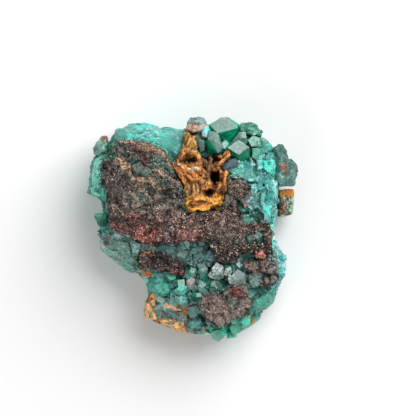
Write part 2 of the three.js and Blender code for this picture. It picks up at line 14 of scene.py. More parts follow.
import bmesh
import bpy
import numpy as np
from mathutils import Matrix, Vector


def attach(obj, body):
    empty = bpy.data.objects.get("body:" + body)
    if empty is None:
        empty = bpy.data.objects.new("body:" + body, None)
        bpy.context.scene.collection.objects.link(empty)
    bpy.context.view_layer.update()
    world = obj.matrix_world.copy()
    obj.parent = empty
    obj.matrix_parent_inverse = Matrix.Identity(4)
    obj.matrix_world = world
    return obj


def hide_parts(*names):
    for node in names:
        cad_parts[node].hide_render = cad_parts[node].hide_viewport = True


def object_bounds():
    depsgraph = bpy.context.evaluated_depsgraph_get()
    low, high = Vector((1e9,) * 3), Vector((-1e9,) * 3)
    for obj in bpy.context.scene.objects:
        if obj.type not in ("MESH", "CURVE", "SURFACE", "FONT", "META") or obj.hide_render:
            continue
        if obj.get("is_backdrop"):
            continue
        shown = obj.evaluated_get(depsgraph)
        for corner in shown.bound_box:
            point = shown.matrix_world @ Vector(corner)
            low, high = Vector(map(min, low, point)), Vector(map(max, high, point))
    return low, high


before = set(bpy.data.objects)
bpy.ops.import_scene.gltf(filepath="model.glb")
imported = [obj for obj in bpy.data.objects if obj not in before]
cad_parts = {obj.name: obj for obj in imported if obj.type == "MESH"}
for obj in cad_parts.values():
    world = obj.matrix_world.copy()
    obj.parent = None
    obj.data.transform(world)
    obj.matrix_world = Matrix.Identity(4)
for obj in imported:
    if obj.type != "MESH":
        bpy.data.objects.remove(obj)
cad_box = [[float(v) for v in corner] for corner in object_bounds()]

MM = 0.001  # the shapes below are worked out in millimetres
print("CAD nodes:", len(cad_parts), "box in mm:", [[round(v / MM, 1) for v in c] for c in cad_box])

# %% [markdown]
# ## Noise
#
# Stone is irregular at every scale, so most shapes here are a simple form plus noise. Blender has noise
# textures, but a surface that is worked out in numpy needs the same functions as arrays. A lattice of random
# numbers comes from scrambling whole coordinates with multiplications and shifts, which gives the same
# numbers on every run without storing any.

# %% Random numbers on a lattice


def lattice(cell, seed):
    """A random number from 0 to 1 for each row of whole coordinates: the row is scrambled into 32 bits."""
    i, j, k = cell[:, 0], cell[:, 1], cell[:, 2]
    h = (i * 73856093) ^ (j * 19349663) ^ (k * 83492791) ^ (seed * 2654435761)
    h = h & 0xFFFFFFFF
    h = ((h ^ (h >> 15)) * 2246822519) & 0xFFFFFFFF
    h = ((h ^ (h >> 13)) * 3266489917) & 0xFFFFFFFF
    return (h ^ (h >> 16)) / 4294967295.0


def noise(p, size, seed=0):
    """Smooth noise from -1 to 1: the eight lattice numbers round a point, blended by 3f^2 - 2f^3."""
    q = p / size
    base = np.floor(q)
    f = q - base
    f = f * f * (3 - 2 * f)
    base = base.astype(np.int64)
    total = np.zeros(len(p))
    for corner in np.ndindex(2, 2, 2):
        weight = np.prod(np.where(np.array(corner) == 1, f, 1 - f), axis=1)
        total += weight * lattice(base + np.array(corner), seed)
    return 2 * total - 1


def rough(p, size, octaves=3, seed=0):
    """Noise with finer noise on it: each octave has half the size and half the height of the last."""
    steps = [(size / 2**n, 0.5**n) for n in range(octaves)]
    return sum(share * noise(p, scale, seed + n) for n, (scale, share) in enumerate(steps)) / 1.5


def cells(p, size, seed=0):
    """Scattered points, one in each cube of the given size. For each row of p: the distance to the nearest
    of them, the distance to the second nearest, the offset from the nearest, and the nearest one's cube."""
    q = p / size
    base = np.floor(q).astype(np.int64)
    first = np.full(len(p), np.inf)
    second = np.full(len(p), np.inf)
    offset = np.zeros_like(p)
    owner = np.zeros_like(base)
    for shift in np.ndindex(3, 3, 3):
        cube = base + np.array(shift) - 1
        spot = cube + np.stack([lattice(cube, seed + n) for n in (11, 12, 13)], axis=1)
        away = q - spot
        far = np.einsum("ij,ij->i", away, away)
        closer = far < first
        second = np.where(closer, first, np.minimum(second, far))
        first = np.where(closer, far, first)
        offset[closer] = away[closer]
        owner[closer] = cube[closer]
    return np.sqrt(first) * size, np.sqrt(second) * size, offset * size, owner


def facets(p, size, slope, seed=0):
    """Cleavage: every scattered point owns the space nearest to it, and there the height is a tilted plane,
    random slope times offset plus a random step. Returns the height, a random number of the facet, and the
    distance to its edge."""
    near, second, offset, owner = cells(p, size, seed)
    tilt = np.stack([lattice(owner, seed + n) for n in (21, 22, 23)], axis=1) * 2 - 1
    chance = lattice(owner, seed + 24)
    return slope * ((tilt * offset).sum(axis=1) + 0.5 * size * (chance - 0.5)), chance, second - near


def swirl(p, size, seed=0):
    """Three noises as a vector, to bend coordinates by."""
    return np.stack([noise(p, size, seed + n) for n in range(3)], axis=1)


def oval(p, at, radii):
    """Distance from the middle of an upright ellipse, in its own radii: 1 all along its rim."""
    return np.hypot((p[:, 0] - at[0]) / radii[0], (p[:, 1] - at[1]) / radii[1])


def ramp(x, low, high):
    """0 below low, 1 above high, and 3t^2 - 2t^3 between them."""
    t = np.clip((x - low) / (high - low), 0, 1)
    return t * t * (3 - 2 * t)


print("noise at the origin:", noise(np.zeros((1, 3)), 1.0))

# %% [markdown]
# ## Areas and paint
#
# A specimen is a map of minerals. Each area is an outline in millimetres seen from above, and its edge is
# made ragged by noise, because no mineral stops on a straight line. Colours are given as they look, 0 to 255,
# and turned into the linear light values that a shader multiplies.

# %% Outlines and paint


def inside(p, outline):
    """Distance in mm from the outline, positive inside: the nearest of its edges, signed by edge
    crossings."""
    x, y = p[:, 0], p[:, 1]
    corners = np.array(outline, dtype=float)
    nearest = np.full(len(p), np.inf)
    odd = np.zeros(len(p), dtype=bool)
    for (ax, ay), (bx, by) in zip(corners, np.roll(corners, -1, axis=0)):
        ex, ey = bx - ax, by - ay
        t = np.clip(((x - ax) * ex + (y - ay) * ey) / (ex * ex + ey * ey + 1e-12), 0, 1)
        nearest = np.minimum(nearest, np.hypot(x - ax - t * ex, y - ay - t * ey))
        crosses = (ay > y) != (by > y)
        odd ^= crosses & (x < ax + ex * (y - ay) / (ey if ey else 1e-12))
    return np.where(odd, nearest, -nearest)


def linear(colour):
    """The light value of a colour as it looks: ((c + 0.055) / 1.055) to the power 2.4, for c from 0 to 1."""
    c = np.array(colour, dtype=float) / 255
    return np.where(c < 0.04045, c / 12.92, ((c + 0.055) / 1.055) ** 2.4)


def area_mask(p, outline, ragged=0.8, soft=0.25, seed=0):
    """1 inside an outline and 0 outside: its edge wanders by `ragged` mm and fades over `soft` mm."""
    edge = inside(p, outline)
    if ragged:
        edge = edge + ragged * rough(p, 1.6 * ragged + 0.4, 3, seed)
    return ramp(edge, -soft, soft)


class Paint:
    """The colour of every vertex of a surface, painted over layer by layer."""

    def __init__(self, p, colour):
        self.p = p
        self.rgb = np.tile(linear(colour), (len(p), 1))

    def over(self, colour, mask):
        """Mixes a colour in by a mask from 0 to 1."""
        mask = np.clip(mask, 0, 1)[:, None]
        self.rgb = self.rgb * (1 - mask) + linear(colour) * mask
        return self

    def blotch(self, colour, amount, size, octaves, seed, low, high, at=None):
        """Mixes a colour in where rough noise rises from `low` to `high`, read at bent points if given."""
        grain = rough(self.p if at is None else at, size, octaves, seed)
        return self.over(colour, amount * ramp(grain, low, high))

    def area(self, colour, outline, amount=1.0, ragged=0.8, soft=0.25, seed=0):
        """Paints inside an outline whose edge wanders by `ragged` mm and fades over `soft` mm."""
        return self.over(colour, amount * area_mask(self.p, outline, ragged, soft, seed))

    def mosaic(self, colours, mask, chance):
        """Gives each facet one of the colours, by the facet's random number."""
        for n, colour in enumerate(colours):
            low, high = n / len(colours), (n + 1) / len(colours)
            self.over(colour, mask * ((chance >= low) & (chance < high)))
        return self

    def spot(self, colour, at, radii, amount=1.0, ragged=0.35, seed=0):
        """Paints an ellipse with a ragged rim: 1 at its middle, 0 where its scaled radius passes 1."""
        away = oval(self.p, at, radii) + ragged * rough(self.p, 0.8 * min(radii) + 0.3, 3, seed)
        return self.over(colour, amount * ramp(1 - away, 0, 0.35))

    def line(self, colour, points, width, amount=1.0, seed=0):
        """Paints a ragged band of half the given width on each side of a line through some points."""
        away = np.full(len(self.p), np.inf)
        xy = self.p[:, :2] + 0.35 * np.stack([noise(self.p, 0.9, seed), noise(self.p, 0.9, seed + 1)], axis=1)
        for a, b in zip(np.array(points[:-1]), np.array(points[1:])):
            t = np.clip((xy - a).dot(b - a) / (b - a).dot(b - a), 0, 1)
            away = np.minimum(away, np.linalg.norm(xy - a - t[:, None] * (b - a), axis=1))
        thick = width * (1 + 0.9 * rough(self.p, 1.2, 2, seed + 2))
        return self.over(colour, amount * ramp(thick - away, -0.12, 0.12))

    def shade(self, factor):
        """Multiplies the colour by a factor for each vertex."""
        self.rgb = self.rgb * np.asarray(factor)[:, None]
        return self


print("turquoise as light:", linear((85, 185, 165)).round(3))

# %% [markdown]
# ## Shader maths
#
# A Blender material is a graph of nodes. Written out node by node it is long and hard to read, so two small
# classes wrap it: `Socket` lets numbers and node outputs be added and multiplied as in Python, and `Shader`
# adds any other node in one call. Colours go through Mix nodes, because a Math node would turn them grey.

# %% Two classes for materials


class Socket:
    """One output of a node. Arithmetic on it, with numbers or with other sockets, adds Math nodes."""

    def __init__(self, shader, output):
        self.shader = shader
        self.output = output

    def __add__(self, other):
        return self.shader.math("ADD", self, other)

    def __sub__(self, other):
        return self.shader.math("SUBTRACT", self, other)

    def __rsub__(self, other):
        return self.shader.math("SUBTRACT", other, self)

    def __mul__(self, other):
        return self.shader.math("MULTIPLY", self, other)

    __radd__ = __add__
    __rmul__ = __mul__


class Shader:
    """A new material and its nodes."""

    def __init__(self, name):
        self.material = bpy.data.materials.new(name)
        self.material.use_nodes = True
        self.tree = self.material.node_tree
        self.tree.nodes.clear()

    def node(self, kind, settings=None, values=None, out=0):
        """Adds a node of any type. Its settings come first, then the values or links of its sockets."""
        node = self.tree.nodes.new(kind)
        for key, value in (settings or {}).items():
            setattr(node, key, value)
        for key, value in (values or {}).items():
            if isinstance(value, Socket):
                self.tree.links.new(value.output, node.inputs[key])
            else:
                node.inputs[key].default_value = value
        return Socket(self, node.outputs[out])

    def math(self, operation, *values):
        """Adds a Math node: one operation on numbers or sockets."""
        return self.node("ShaderNodeMath", {"operation": operation}, dict(enumerate(values)))

    def ramp(self, value, low, high, start=0.0, end=1.0):
        """Smoothly from `start`, where the value is at `low`, to `end`, where it is at `high`."""
        settings = {"interpolation_type": "SMOOTHSTEP", "clamp": True}
        return self.node("ShaderNodeMapRange", settings, {0: value, 1: low, 2: high, 3: start, 4: end})

    def mix(self, factor, first, second, blend="MIX"):
        """The first colour, with the second mixed in by a factor."""
        settings = {"data_type": "RGBA", "blend_type": blend}
        return self.node("ShaderNodeMix", settings, {0: factor, 6: first, 7: second}, 2)

    def noise(self, size, detail=3.0, roughness=0.6, distortion=0.0):
        """Noise from 0 to 1 in the object's own coordinates, with features of that size in millimetres."""
        place = self.node("ShaderNodeTexCoord", out="Object")
        values = {"Vector": place, "Scale": 1 / (size * MM), "Detail": detail, "Roughness": roughness,
                  "Distortion": distortion}
        return self.node("ShaderNodeTexNoise", {}, values)

    def crystals(self, size, out="Distance"):
        """Cells of that size in millimetres, as a field of tiny crystals: their distances or random
        colours."""
        place = self.node("ShaderNodeTexCoord", out="Object")
        return self.node("ShaderNodeTexVoronoi", {}, {"Vector": place, "Scale": 1 / (size * MM)}, out)

    def tint(self):
        """The colour that was painted on the vertices."""
        return self.node("ShaderNodeAttribute", {"attribute_name": "tint"}, out="Color")

    def shaded(self, colour, factor, blue=1.0):
        """A colour made darker or lighter by a factor, which counts a little more in blue if `blue` is over
        1."""
        parts = {0: factor, 1: factor, 2: factor if blue == 1.0 else factor * blue}
        return self.mix(1.0, colour, self.node("ShaderNodeCombineColor", {}, parts), "MULTIPLY")

    def surface(self, colour, roughness, normal, **constant):
        """Ends the material in a Principled shader. What is the same all over is set on its own sockets."""
        values = {"Base Color": colour, "Roughness": roughness, "Normal": normal, **constant}
        shader = self.node("ShaderNodeBsdfPrincipled", {}, values)
        output = self.tree.nodes.new("ShaderNodeOutputMaterial")
        self.tree.links.new(shader.output, output.inputs["Surface"])
        return self.material

    def bump(self, height, depth, strength=1.0):
        """A bump of that depth in millimetres where the height goes from 0 to 1."""
        values = {"Height": height, "Distance": depth * MM, "Strength": strength}
        return self.node("ShaderNodeBump", {}, values)


print("helpers for nodes:", [word for word in vars(Shader) if word[0] != "_"])

# %% [markdown]
# ## From arrays to pieces
#
# A mesh is two arrays: points, and the corners of each face. `foreach_set` copies them in whole. Each piece
# is hung on the root body, and hides the plain CAD solids that it takes the place of.

# %% Making a piece


def mesh_of(name, points, faces):
    """A mesh of points in mm and of one or more arrays of faces, each with its own number of corners."""
    mesh = bpy.data.meshes.new(name)
    mesh.vertices.add(len(points))
    mesh.vertices.foreach_set("co", (np.asarray(points) * MM).ravel())
    groups = [np.asarray(group) for group in faces]
    sizes = np.concatenate([np.full(len(group), group.shape[1]) for group in groups])
    mesh.loops.add(int(sizes.sum()))
    mesh.loops.foreach_set("vertex_index", np.concatenate([group.ravel() for group in groups]))
    mesh.polygons.add(len(sizes))
    mesh.polygons.foreach_set("loop_start", np.concatenate([[0], np.cumsum(sizes)[:-1]]))
    mesh.update(calc_edges=True)
    return mesh


def place(name, points, faces, material, slot, nodes, tint, smooth=True, veil=None):
    """Puts a mesh into the scene as a finished piece of the specimen, in place of some CAD nodes. `tint` has
    a colour for each point, or one for each corner of each face. `veil` is the share of satin at each
    point."""
    mesh = mesh_of(name, points, faces)
    domain = "POINT" if len(tint) == len(points) else "CORNER"
    layer = mesh.color_attributes.new("tint", "FLOAT_COLOR", domain)
    layer.data.foreach_set("color", np.column_stack([tint, np.ones(len(tint))]).ravel())
    if veil is not None:
        mesh.attributes.new("veil", "FLOAT", "POINT").data.foreach_set("value", veil.astype(np.float32))
    mesh.polygons.foreach_set("use_smooth", np.full(len(mesh.polygons), smooth))
    mesh.materials.append(material)
    piece = bpy.data.objects.new(name, mesh)
    bpy.context.collection.objects.link(piece)
    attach(piece, "root")
    if nodes:
        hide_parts(*nodes)
    print(f"{name}: {len(mesh.loops) - 2 * len(mesh.polygons)} triangles")


def normals_of(points, faces):
    """Unit normals at the points: each triangle's cross product, which is long for a large one, summed."""
    fans = [np.asarray(f)[:, [0, i, i + 1]] for f in faces for i in range(1, np.shape(f)[1] - 1)]
    tri = np.concatenate(fans)
    a, b, c = (points[tri[:, i]] for i in range(3))
    cross = np.cross(b - a, c - a)
    normal = np.zeros_like(points)
    for i in range(3):
        for axis in range(3):
            normal[:, axis] += np.bincount(tri[:, i], cross[:, axis], len(points))
    return normal / (np.linalg.norm(normal, axis=1, keepdims=True) + 1e-12)


# %% [markdown]
# ## The rock
#
# The rock is a closed form with no corner: its widest contour is an outline seen from above, and a profile
# carries that outline from the flat base up the side and over to the top. One way is rings of points that
# shrink to the middle, but the rings crowd there and are coarse at the rim. So the top is a square grid
# pressed into the outline instead, and its four edges together are the first ring of the side.

# %% The rock's form

ROCK_CENTRE = np.array([-1.0, 0.0])
ROCK_OUTLINE = np.array([
    (-23.2, 25.6), (-22, 28.4), (-18.8, 29.6), (-17, 30.4), (-12.8, 30.5), (-10, 29.7), (-8.8, 29),
    (-6, 28.9), (-3.8, 28.6), (-1.5, 28.8), (2, 29.4), (6, 29.4), (10, 29.2), (14, 28.8), (17.8, 27.6),
    (20, 25.8), (22.4, 24), (24, 21.6), (24.7, 18.8), (24.8, 15.4), (24.6, 12), (24.6, 8), (24, 4.2),
    (23.4, 1.6), (23.6, -1), (24.2, -4), (25.6, -6.8), (26.7, -9), (26.8, -11), (26.2, -13.2), (25, -15.5),
    (23.9, -18.5), (22.9, -21), (20.5, -23.5), (18.7, -25.8), (16, -27.8), (13, -29.4), (10.8, -29.8),
    (8.6, -29.9), (6, -30.2), (3.4, -29.8), (0, -29.5), (-4, -28.8), (-9, -26.9), (-13.2, -25.2),
    (-13.9, -23.5), (-13.4, -21.2), (-12.6, -18), (-12.7, -14.8), (-14.8, -13.4), (-18, -12.5),
    (-19.8, -10.8), (-24, -7.4), (-26.4, -5.4), (-27.1, -3.5), (-27.2, -1.5), (-26.6, 0.2), (-26.2, 2.2),
    (-25.6, 4.6), (-25.4, 6.4), (-25.6, 8), (-27.2, 9), (-29.4, 10.2), (-29.8, 12.5), (-29.4, 15),
    (-28.8, 18), (-27.8, 20.4), (-25.6, 22.2),
])
ROCK_HEIGHTS = np.array([
    (-20, 20, 24), (-12, 27, 23.5), (-4, 25, 22.5), (8, 27, 22), (18, 23, 22), (20, 14, 23.5), (21, 6, 23),
    (12, 10, 24), (0, 3, 24), (-14, 8, 25), (-23, 10, 22.5), (-24, -2, 19), (-18, -7, 19), (-10, -7, 20.5),
    (0, -7, 19.5), (12, -4, 23), (20, -5, 22.5), (22, -12, 20.5), (13, -13, 19.5), (3, -13, 18.5),
    (-5, -15, 16), (-10, -20, 14.5), (-5, -25, 14), (3, -25, 17.5), (9, -21, 19.5), (16, -21, 18),
    (10, -28, 15.5), (20, -18, 17.5), (-8, -13.2, 18.4), (-3, -13, 18), (-4, -4.6, 21.3), (1.5, -4.7, 21.2),
    (5, -5.2, 21.2),
])
HEIGHT_REACH = 3.0
RIM_SHARE = 0.92  # the top ends at this share of the outline
RIM_RISE = 0.88  # and at this share of the height
SIDE_PROFILE = np.array([(0.88, 0.92), (0.75, 0.96), (0.6, 0.985), (0.44, 1), (0.27, 0.97), (0.1, 0.91),
                         (0, 0.84)])  # rise and share, from the rim down to the base
TOP_CELLS = 308
SIDE_ROWS = 72


def outline_at(angle):
    """The outline's point in a direction from the middle, between its two corners nearest in angle."""
    away = ROCK_OUTLINE - ROCK_CENTRE
    turn = np.arctan2(away[:, 1], away[:, 0])
    order = np.argsort(turn)
    x = np.interp(angle, turn[order], away[order, 0], period=2 * np.pi)
    y = np.interp(angle, turn[order], away[order, 1], period=2 * np.pi)
    return np.stack([x, y], axis=1)


def rock_height(xy):
    """A mean of the listed heights, each weighted by 1 / (distance squared + reach squared) squared."""
    square = ((xy[:, None, :] - ROCK_HEIGHTS[None, :, :2]) ** 2).sum(axis=2)
    weight = 1 / (square + HEIGHT_REACH**2) ** 2
    return (weight * ROCK_HEIGHTS[:, 2]).sum(axis=1) / weight.sum(axis=1)


def rock_point(angle, share, rise):
    """A point of the smooth rock: the outline's point, drawn in by `share` and lifted by `rise`."""
    xy = ROCK_CENTRE + outline_at(angle) * share[:, None]
    return np.column_stack([xy, rise * rock_height(xy)])


# The top: a grid from -1 to 1 both ways, pressed into a disc by x sqrt(1 - y^2 / 2) and the same for y.
across = np.linspace(-1, 1, TOP_CELLS + 1)
gx, gy = (g.ravel() for g in np.meshgrid(across, across))
dx, dy = gx * np.sqrt(1 - gy**2 / 2), gy * np.sqrt(1 - gx**2 / 2)
top_share = RIM_SHARE * np.hypot(dx, dy)
top_rise = 1 - (1 - RIM_RISE) * (top_share / RIM_SHARE) ** 7
top_smooth = rock_point(np.arctan2(dy, dx), top_share, top_rise)

grid = np.arange((TOP_CELLS + 1) ** 2).reshape(TOP_CELLS + 1, TOP_CELLS + 1)
top_faces = np.stack([grid[:-1, :-1], grid[:-1, 1:], grid[1:, 1:], grid[1:, :-1]], axis=2).reshape(-1, 4)
rim = np.concatenate([grid[0, :-1], grid[:-1, -1], grid[-1, :0:-1], grid[:0:-1, 0]])

# The side: the rim's directions carried down the profile.
rim_angle = np.arctan2(dy[rim], dx[rim])
drop = np.linspace(0, 1, SIDE_ROWS)
steps = np.linspace(0, 1, len(SIDE_PROFILE))
side_rise = np.interp(drop, steps, SIDE_PROFILE[:, 0])
side_share = np.interp(drop, steps, SIDE_PROFILE[:, 1])
side_smooth = rock_point(np.tile(rim_angle, SIDE_ROWS), np.repeat(side_share, len(rim)),
                         np.repeat(side_rise, len(rim)))
ring = np.arange(SIDE_ROWS * len(rim)).reshape(SIDE_ROWS, len(rim))
after = np.roll(ring, -1, axis=1)
side_faces = np.stack([ring[:-1], ring[1:], after[1:], after[:-1]], axis=2).reshape(-1, 4)
print("rim points:", len(rim), "top grid:", len(top_smooth), "side grid:", len(side_smooth))

# %% [markdown]
# ## Height maps
#
# The rock has to meet what grows on it. A height map answers how high something is over each point: here the
# top of some CAD solids, found triangle by triangle. Blurring the map of where the crusts lie gives a number
# that falls smoothly from 1 well inside them to 0 well outside, so that the rock can swell up to their edges.

# %% Height maps of the frame's solids

MAP_CELL = 0.25
MAP_HALF = 36.0
MAP_SIZE = int(2 * MAP_HALF / MAP_CELL)


def top_of(nodes):
    """The highest surface of some CAD nodes over each cell of the map, and 0 where there is none."""
    top = np.zeros((MAP_SIZE, MAP_SIZE))
    for node in nodes:
        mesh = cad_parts[node].data
        mesh.calc_loop_triangles()
        points = np.array([v.co[:] for v in mesh.vertices]) / MM
        for triangle in mesh.loop_triangles:
            a, b, c = points[list(triangle.vertices)]
            area = (b[0] - a[0]) * (c[1] - a[1]) - (c[0] - a[0]) * (b[1] - a[1])
            if abs(area) < 1e-9:
                continue
            low = np.floor((np.minimum(np.minimum(a, b), c)[:2] + MAP_HALF) / MAP_CELL).astype(int)
            high = np.ceil((np.maximum(np.maximum(a, b), c)[:2] + MAP_HALF) / MAP_CELL).astype(int) + 1
            x, y = np.meshgrid(*(np.arange(low[i], high[i]) * MAP_CELL - MAP_HALF for i in (0, 1)))
            u = ((x - a[0]) * (c[1] - a[1]) - (c[0] - a[0]) * (y - a[1])) / area
            v = ((b[0] - a[0]) * (y - a[1]) - (x - a[0]) * (b[1] - a[1])) / area
            z = a[2] + u * (b[2] - a[2]) + v * (c[2] - a[2])
            part = top[low[1]:high[1], low[0]:high[0]]
            hit = (u >= -1e-6) & (v >= -1e-6) & (u + v <= 1 + 1e-6) & (z > part)
            part[hit] = z[hit]
    return top


def blurred(grid, reach):
    """The map smoothed over `reach` mm: each pass takes the mean of a cell and its four neighbours."""
    for _ in range(round(2.5 * (reach / MAP_CELL) ** 2)):
        grid = (grid + sum(np.roll(grid, step, axis) for step in (1, -1) for axis in (0, 1))) / 5
    return grid


def read(grid, p):
    """The map's value under each point, between its four nearest cells."""
    q = np.clip((p[:, :2] + MAP_HALF) / MAP_CELL, 0, MAP_SIZE - 1.001)
    base = q.astype(int)
    fx, fy = (q - base).T
    i, j = base.T
    low = grid[j, i] * (1 - fx) + grid[j, i + 1] * fx
    high = grid[j + 1, i] * (1 - fx) + grid[j + 1, i + 1] * fx
    return low * (1 - fy) + high * fy


CRUST_NODES = sorted(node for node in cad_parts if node.startswith("druse_crust"))
crust_top = top_of(CRUST_NODES)
crust_cover = blurred((crust_top > 0).astype(float), 0.8)
crust_level = blurred(crust_top, 0.8) / (crust_cover + 1e-6)
print("crusts cover", round(float((crust_top > 0).mean() * (2 * MAP_HALF) ** 2)), "mm2")

# %% [markdown]
# ## Where each mineral lies
#
# The outlines below are the map of the specimen, in millimetres from its middle. The same outlines shape the
# surface and colour it, so a crust's edge and its colour always meet. Each region has its own family of
# greens, and every cleavage facet in it takes one of them.

# %% The vug, the cap and the regions

VUG = [(-1.9, 27), (0.4, 25.9), (0.9, 24), (0.8, 22.4), (1.6, 21), (4.2, 20), (7.4, 20.6), (8.6, 20.4),
       (8.8, 17.6), (9.7, 16), (9.7, 12), (8.8, 10), (8.6, 8.4), (7.6, 5.8), (4, 5.6), (0, 5.6), (-1.6, 7),
       (-1.6, 9), (-2.3, 10.8), (-2, 12.6), (-3.8, 14.8), (-4.8, 18), (-3.8, 20), (-2.8, 22), (-2, 24)]
CAP = [(-24, 21), (-25.5, 24), (-24, 27), (-22, 29.5), (-17, 31.5), (-10, 31), (-5, 30), (-1.6, 29.6),
       (-1.6, 24), (-4, 19.5), (-7, 22), (-9.7, 23), (-12, 24), (-14, 24.9), (-18, 24.9), (-21.8, 25)]
REGIONS = [  # outline, and the greens of its facets
    ([(9, 20), (13, 20.5), (17, 19), (17, 26), (20, 28), (25, 25), (26.5, 15), (26, 6), (25, 1), (27, -5),
      (28, -10), (27, -16), (22, -16), (22, -10), (22.4, -2), (21, 3), (20.4, 7), (17, 3), (12, 8), (10, 14)],
     [(54, 140, 126), (70, 156, 140), (42, 124, 108), (86, 164, 150), (60, 146, 132), (100, 162, 152),
      (32, 106, 92), (76, 148, 134)]),
    ([(15.5, -24.5), (17.8, -20.5), (20, -18.6), (24.5, -17.5), (25, -22), (19, -28), (14, -28)],
     [(60, 150, 122), (74, 166, 136), (50, 136, 108), (92, 176, 148)]),
    ([(-29, -1), (-22, -1.5), (-17, -2.8), (-10, -4.6), (-7, -6), (-15, -5.5), (-16, -9), (-13, -12),
      (-14, -14.5), (-20, -13), (-29, -6)],
     [(118, 168, 146), (106, 154, 134), (128, 174, 152), (98, 164, 138), (138, 154, 134)]),
    ([(-8, -4), (5, -3), (7, -8), (13, -9.5), (20, -10), (20, -18), (9, -16), (2, -18.5), (-1, -19),
      (-6, -17), (-2, -12), (-4, -9)],
     [(10, 74, 56), (22, 98, 76), (40, 118, 96), (14, 60, 48), (70, 128, 112)]),
    ([(-14, -18), (-6, -18), (0, -18.5), (2, -22), (4, -26), (9, -29), (5, -32), (-15, -28)],
     [(112, 148, 130), (100, 142, 122), (120, 154, 136), (90, 150, 124), (116, 130, 116)]),
    ([(11, -10), (14, -9), (20, -11), (19.5, -14), (20.5, -16), (14.5, -16), (11.5, -15)],
     [(142, 164, 150), (154, 174, 160), (126, 152, 138)]),
    ([(-33, 8), (-31, 21), (-24.4, 20), (-24.8, 15), (-24, 12), (-23.4, 8)],
     [(100, 192, 162), (82, 172, 144), (116, 200, 174), (70, 154, 126)]),
    ([(-29, 5.4), (-23, 5.2), (-22.6, 0), (-28, -0.6)],
     [(44, 140, 116), (24, 112, 86), (96, 186, 164)]),
    ([(23, 2), (25, 2), (24.6, -4), (27.6, -8), (27.6, -13), (25.4, -18), (23.6, -17.4), (24.8, -12),
      (24, -6), (23.2, -2)],
     [(138, 166, 164), (118, 158, 152), (152, 174, 172), (98, 172, 156)]),
    # these greens are painted lighter as painted light, to offset the shadow that the crust above casts on
    # this band
    ([(-13.6, -12.4), (-8, -12.2), (-2.4, -12.6), (-1.4, -14.6), (-6, -14.8), (-13.2, -14.8)],
     [(128, 194, 172), (106, 176, 152), (148, 202, 182)]),
    # these greens are painted lighter as painted light, to offset the shadow of the bottom crust
    ([(4, -26.4), (9.6, -26.4), (13.6, -27), (18, -27.2), (14, -31), (3, -31)],
     [(114, 194, 166), (136, 206, 182), (94, 176, 148)]),
]
CALM_REGIONS = (0, 1, 2, 8)
FLECKS = {  # a region's dark and pale flecks
    0: ((34, 108, 92), (150, 214, 200)), 2: ((104, 96, 86), (176, 206, 190)),
    4: ((94, 88, 80), (142, 170, 154)), 5: ((96, 92, 84), (170, 196, 184)),
    6: ((52, 124, 104), (150, 214, 190)), 8: ((62, 110, 104), (176, 196, 196)),
}
PLAIN_GREENS = [(54, 122, 104), (40, 102, 84), (72, 142, 122), (30, 86, 70), (88, 154, 136)]
print("regions:", len(REGIONS))

# %% Single faces

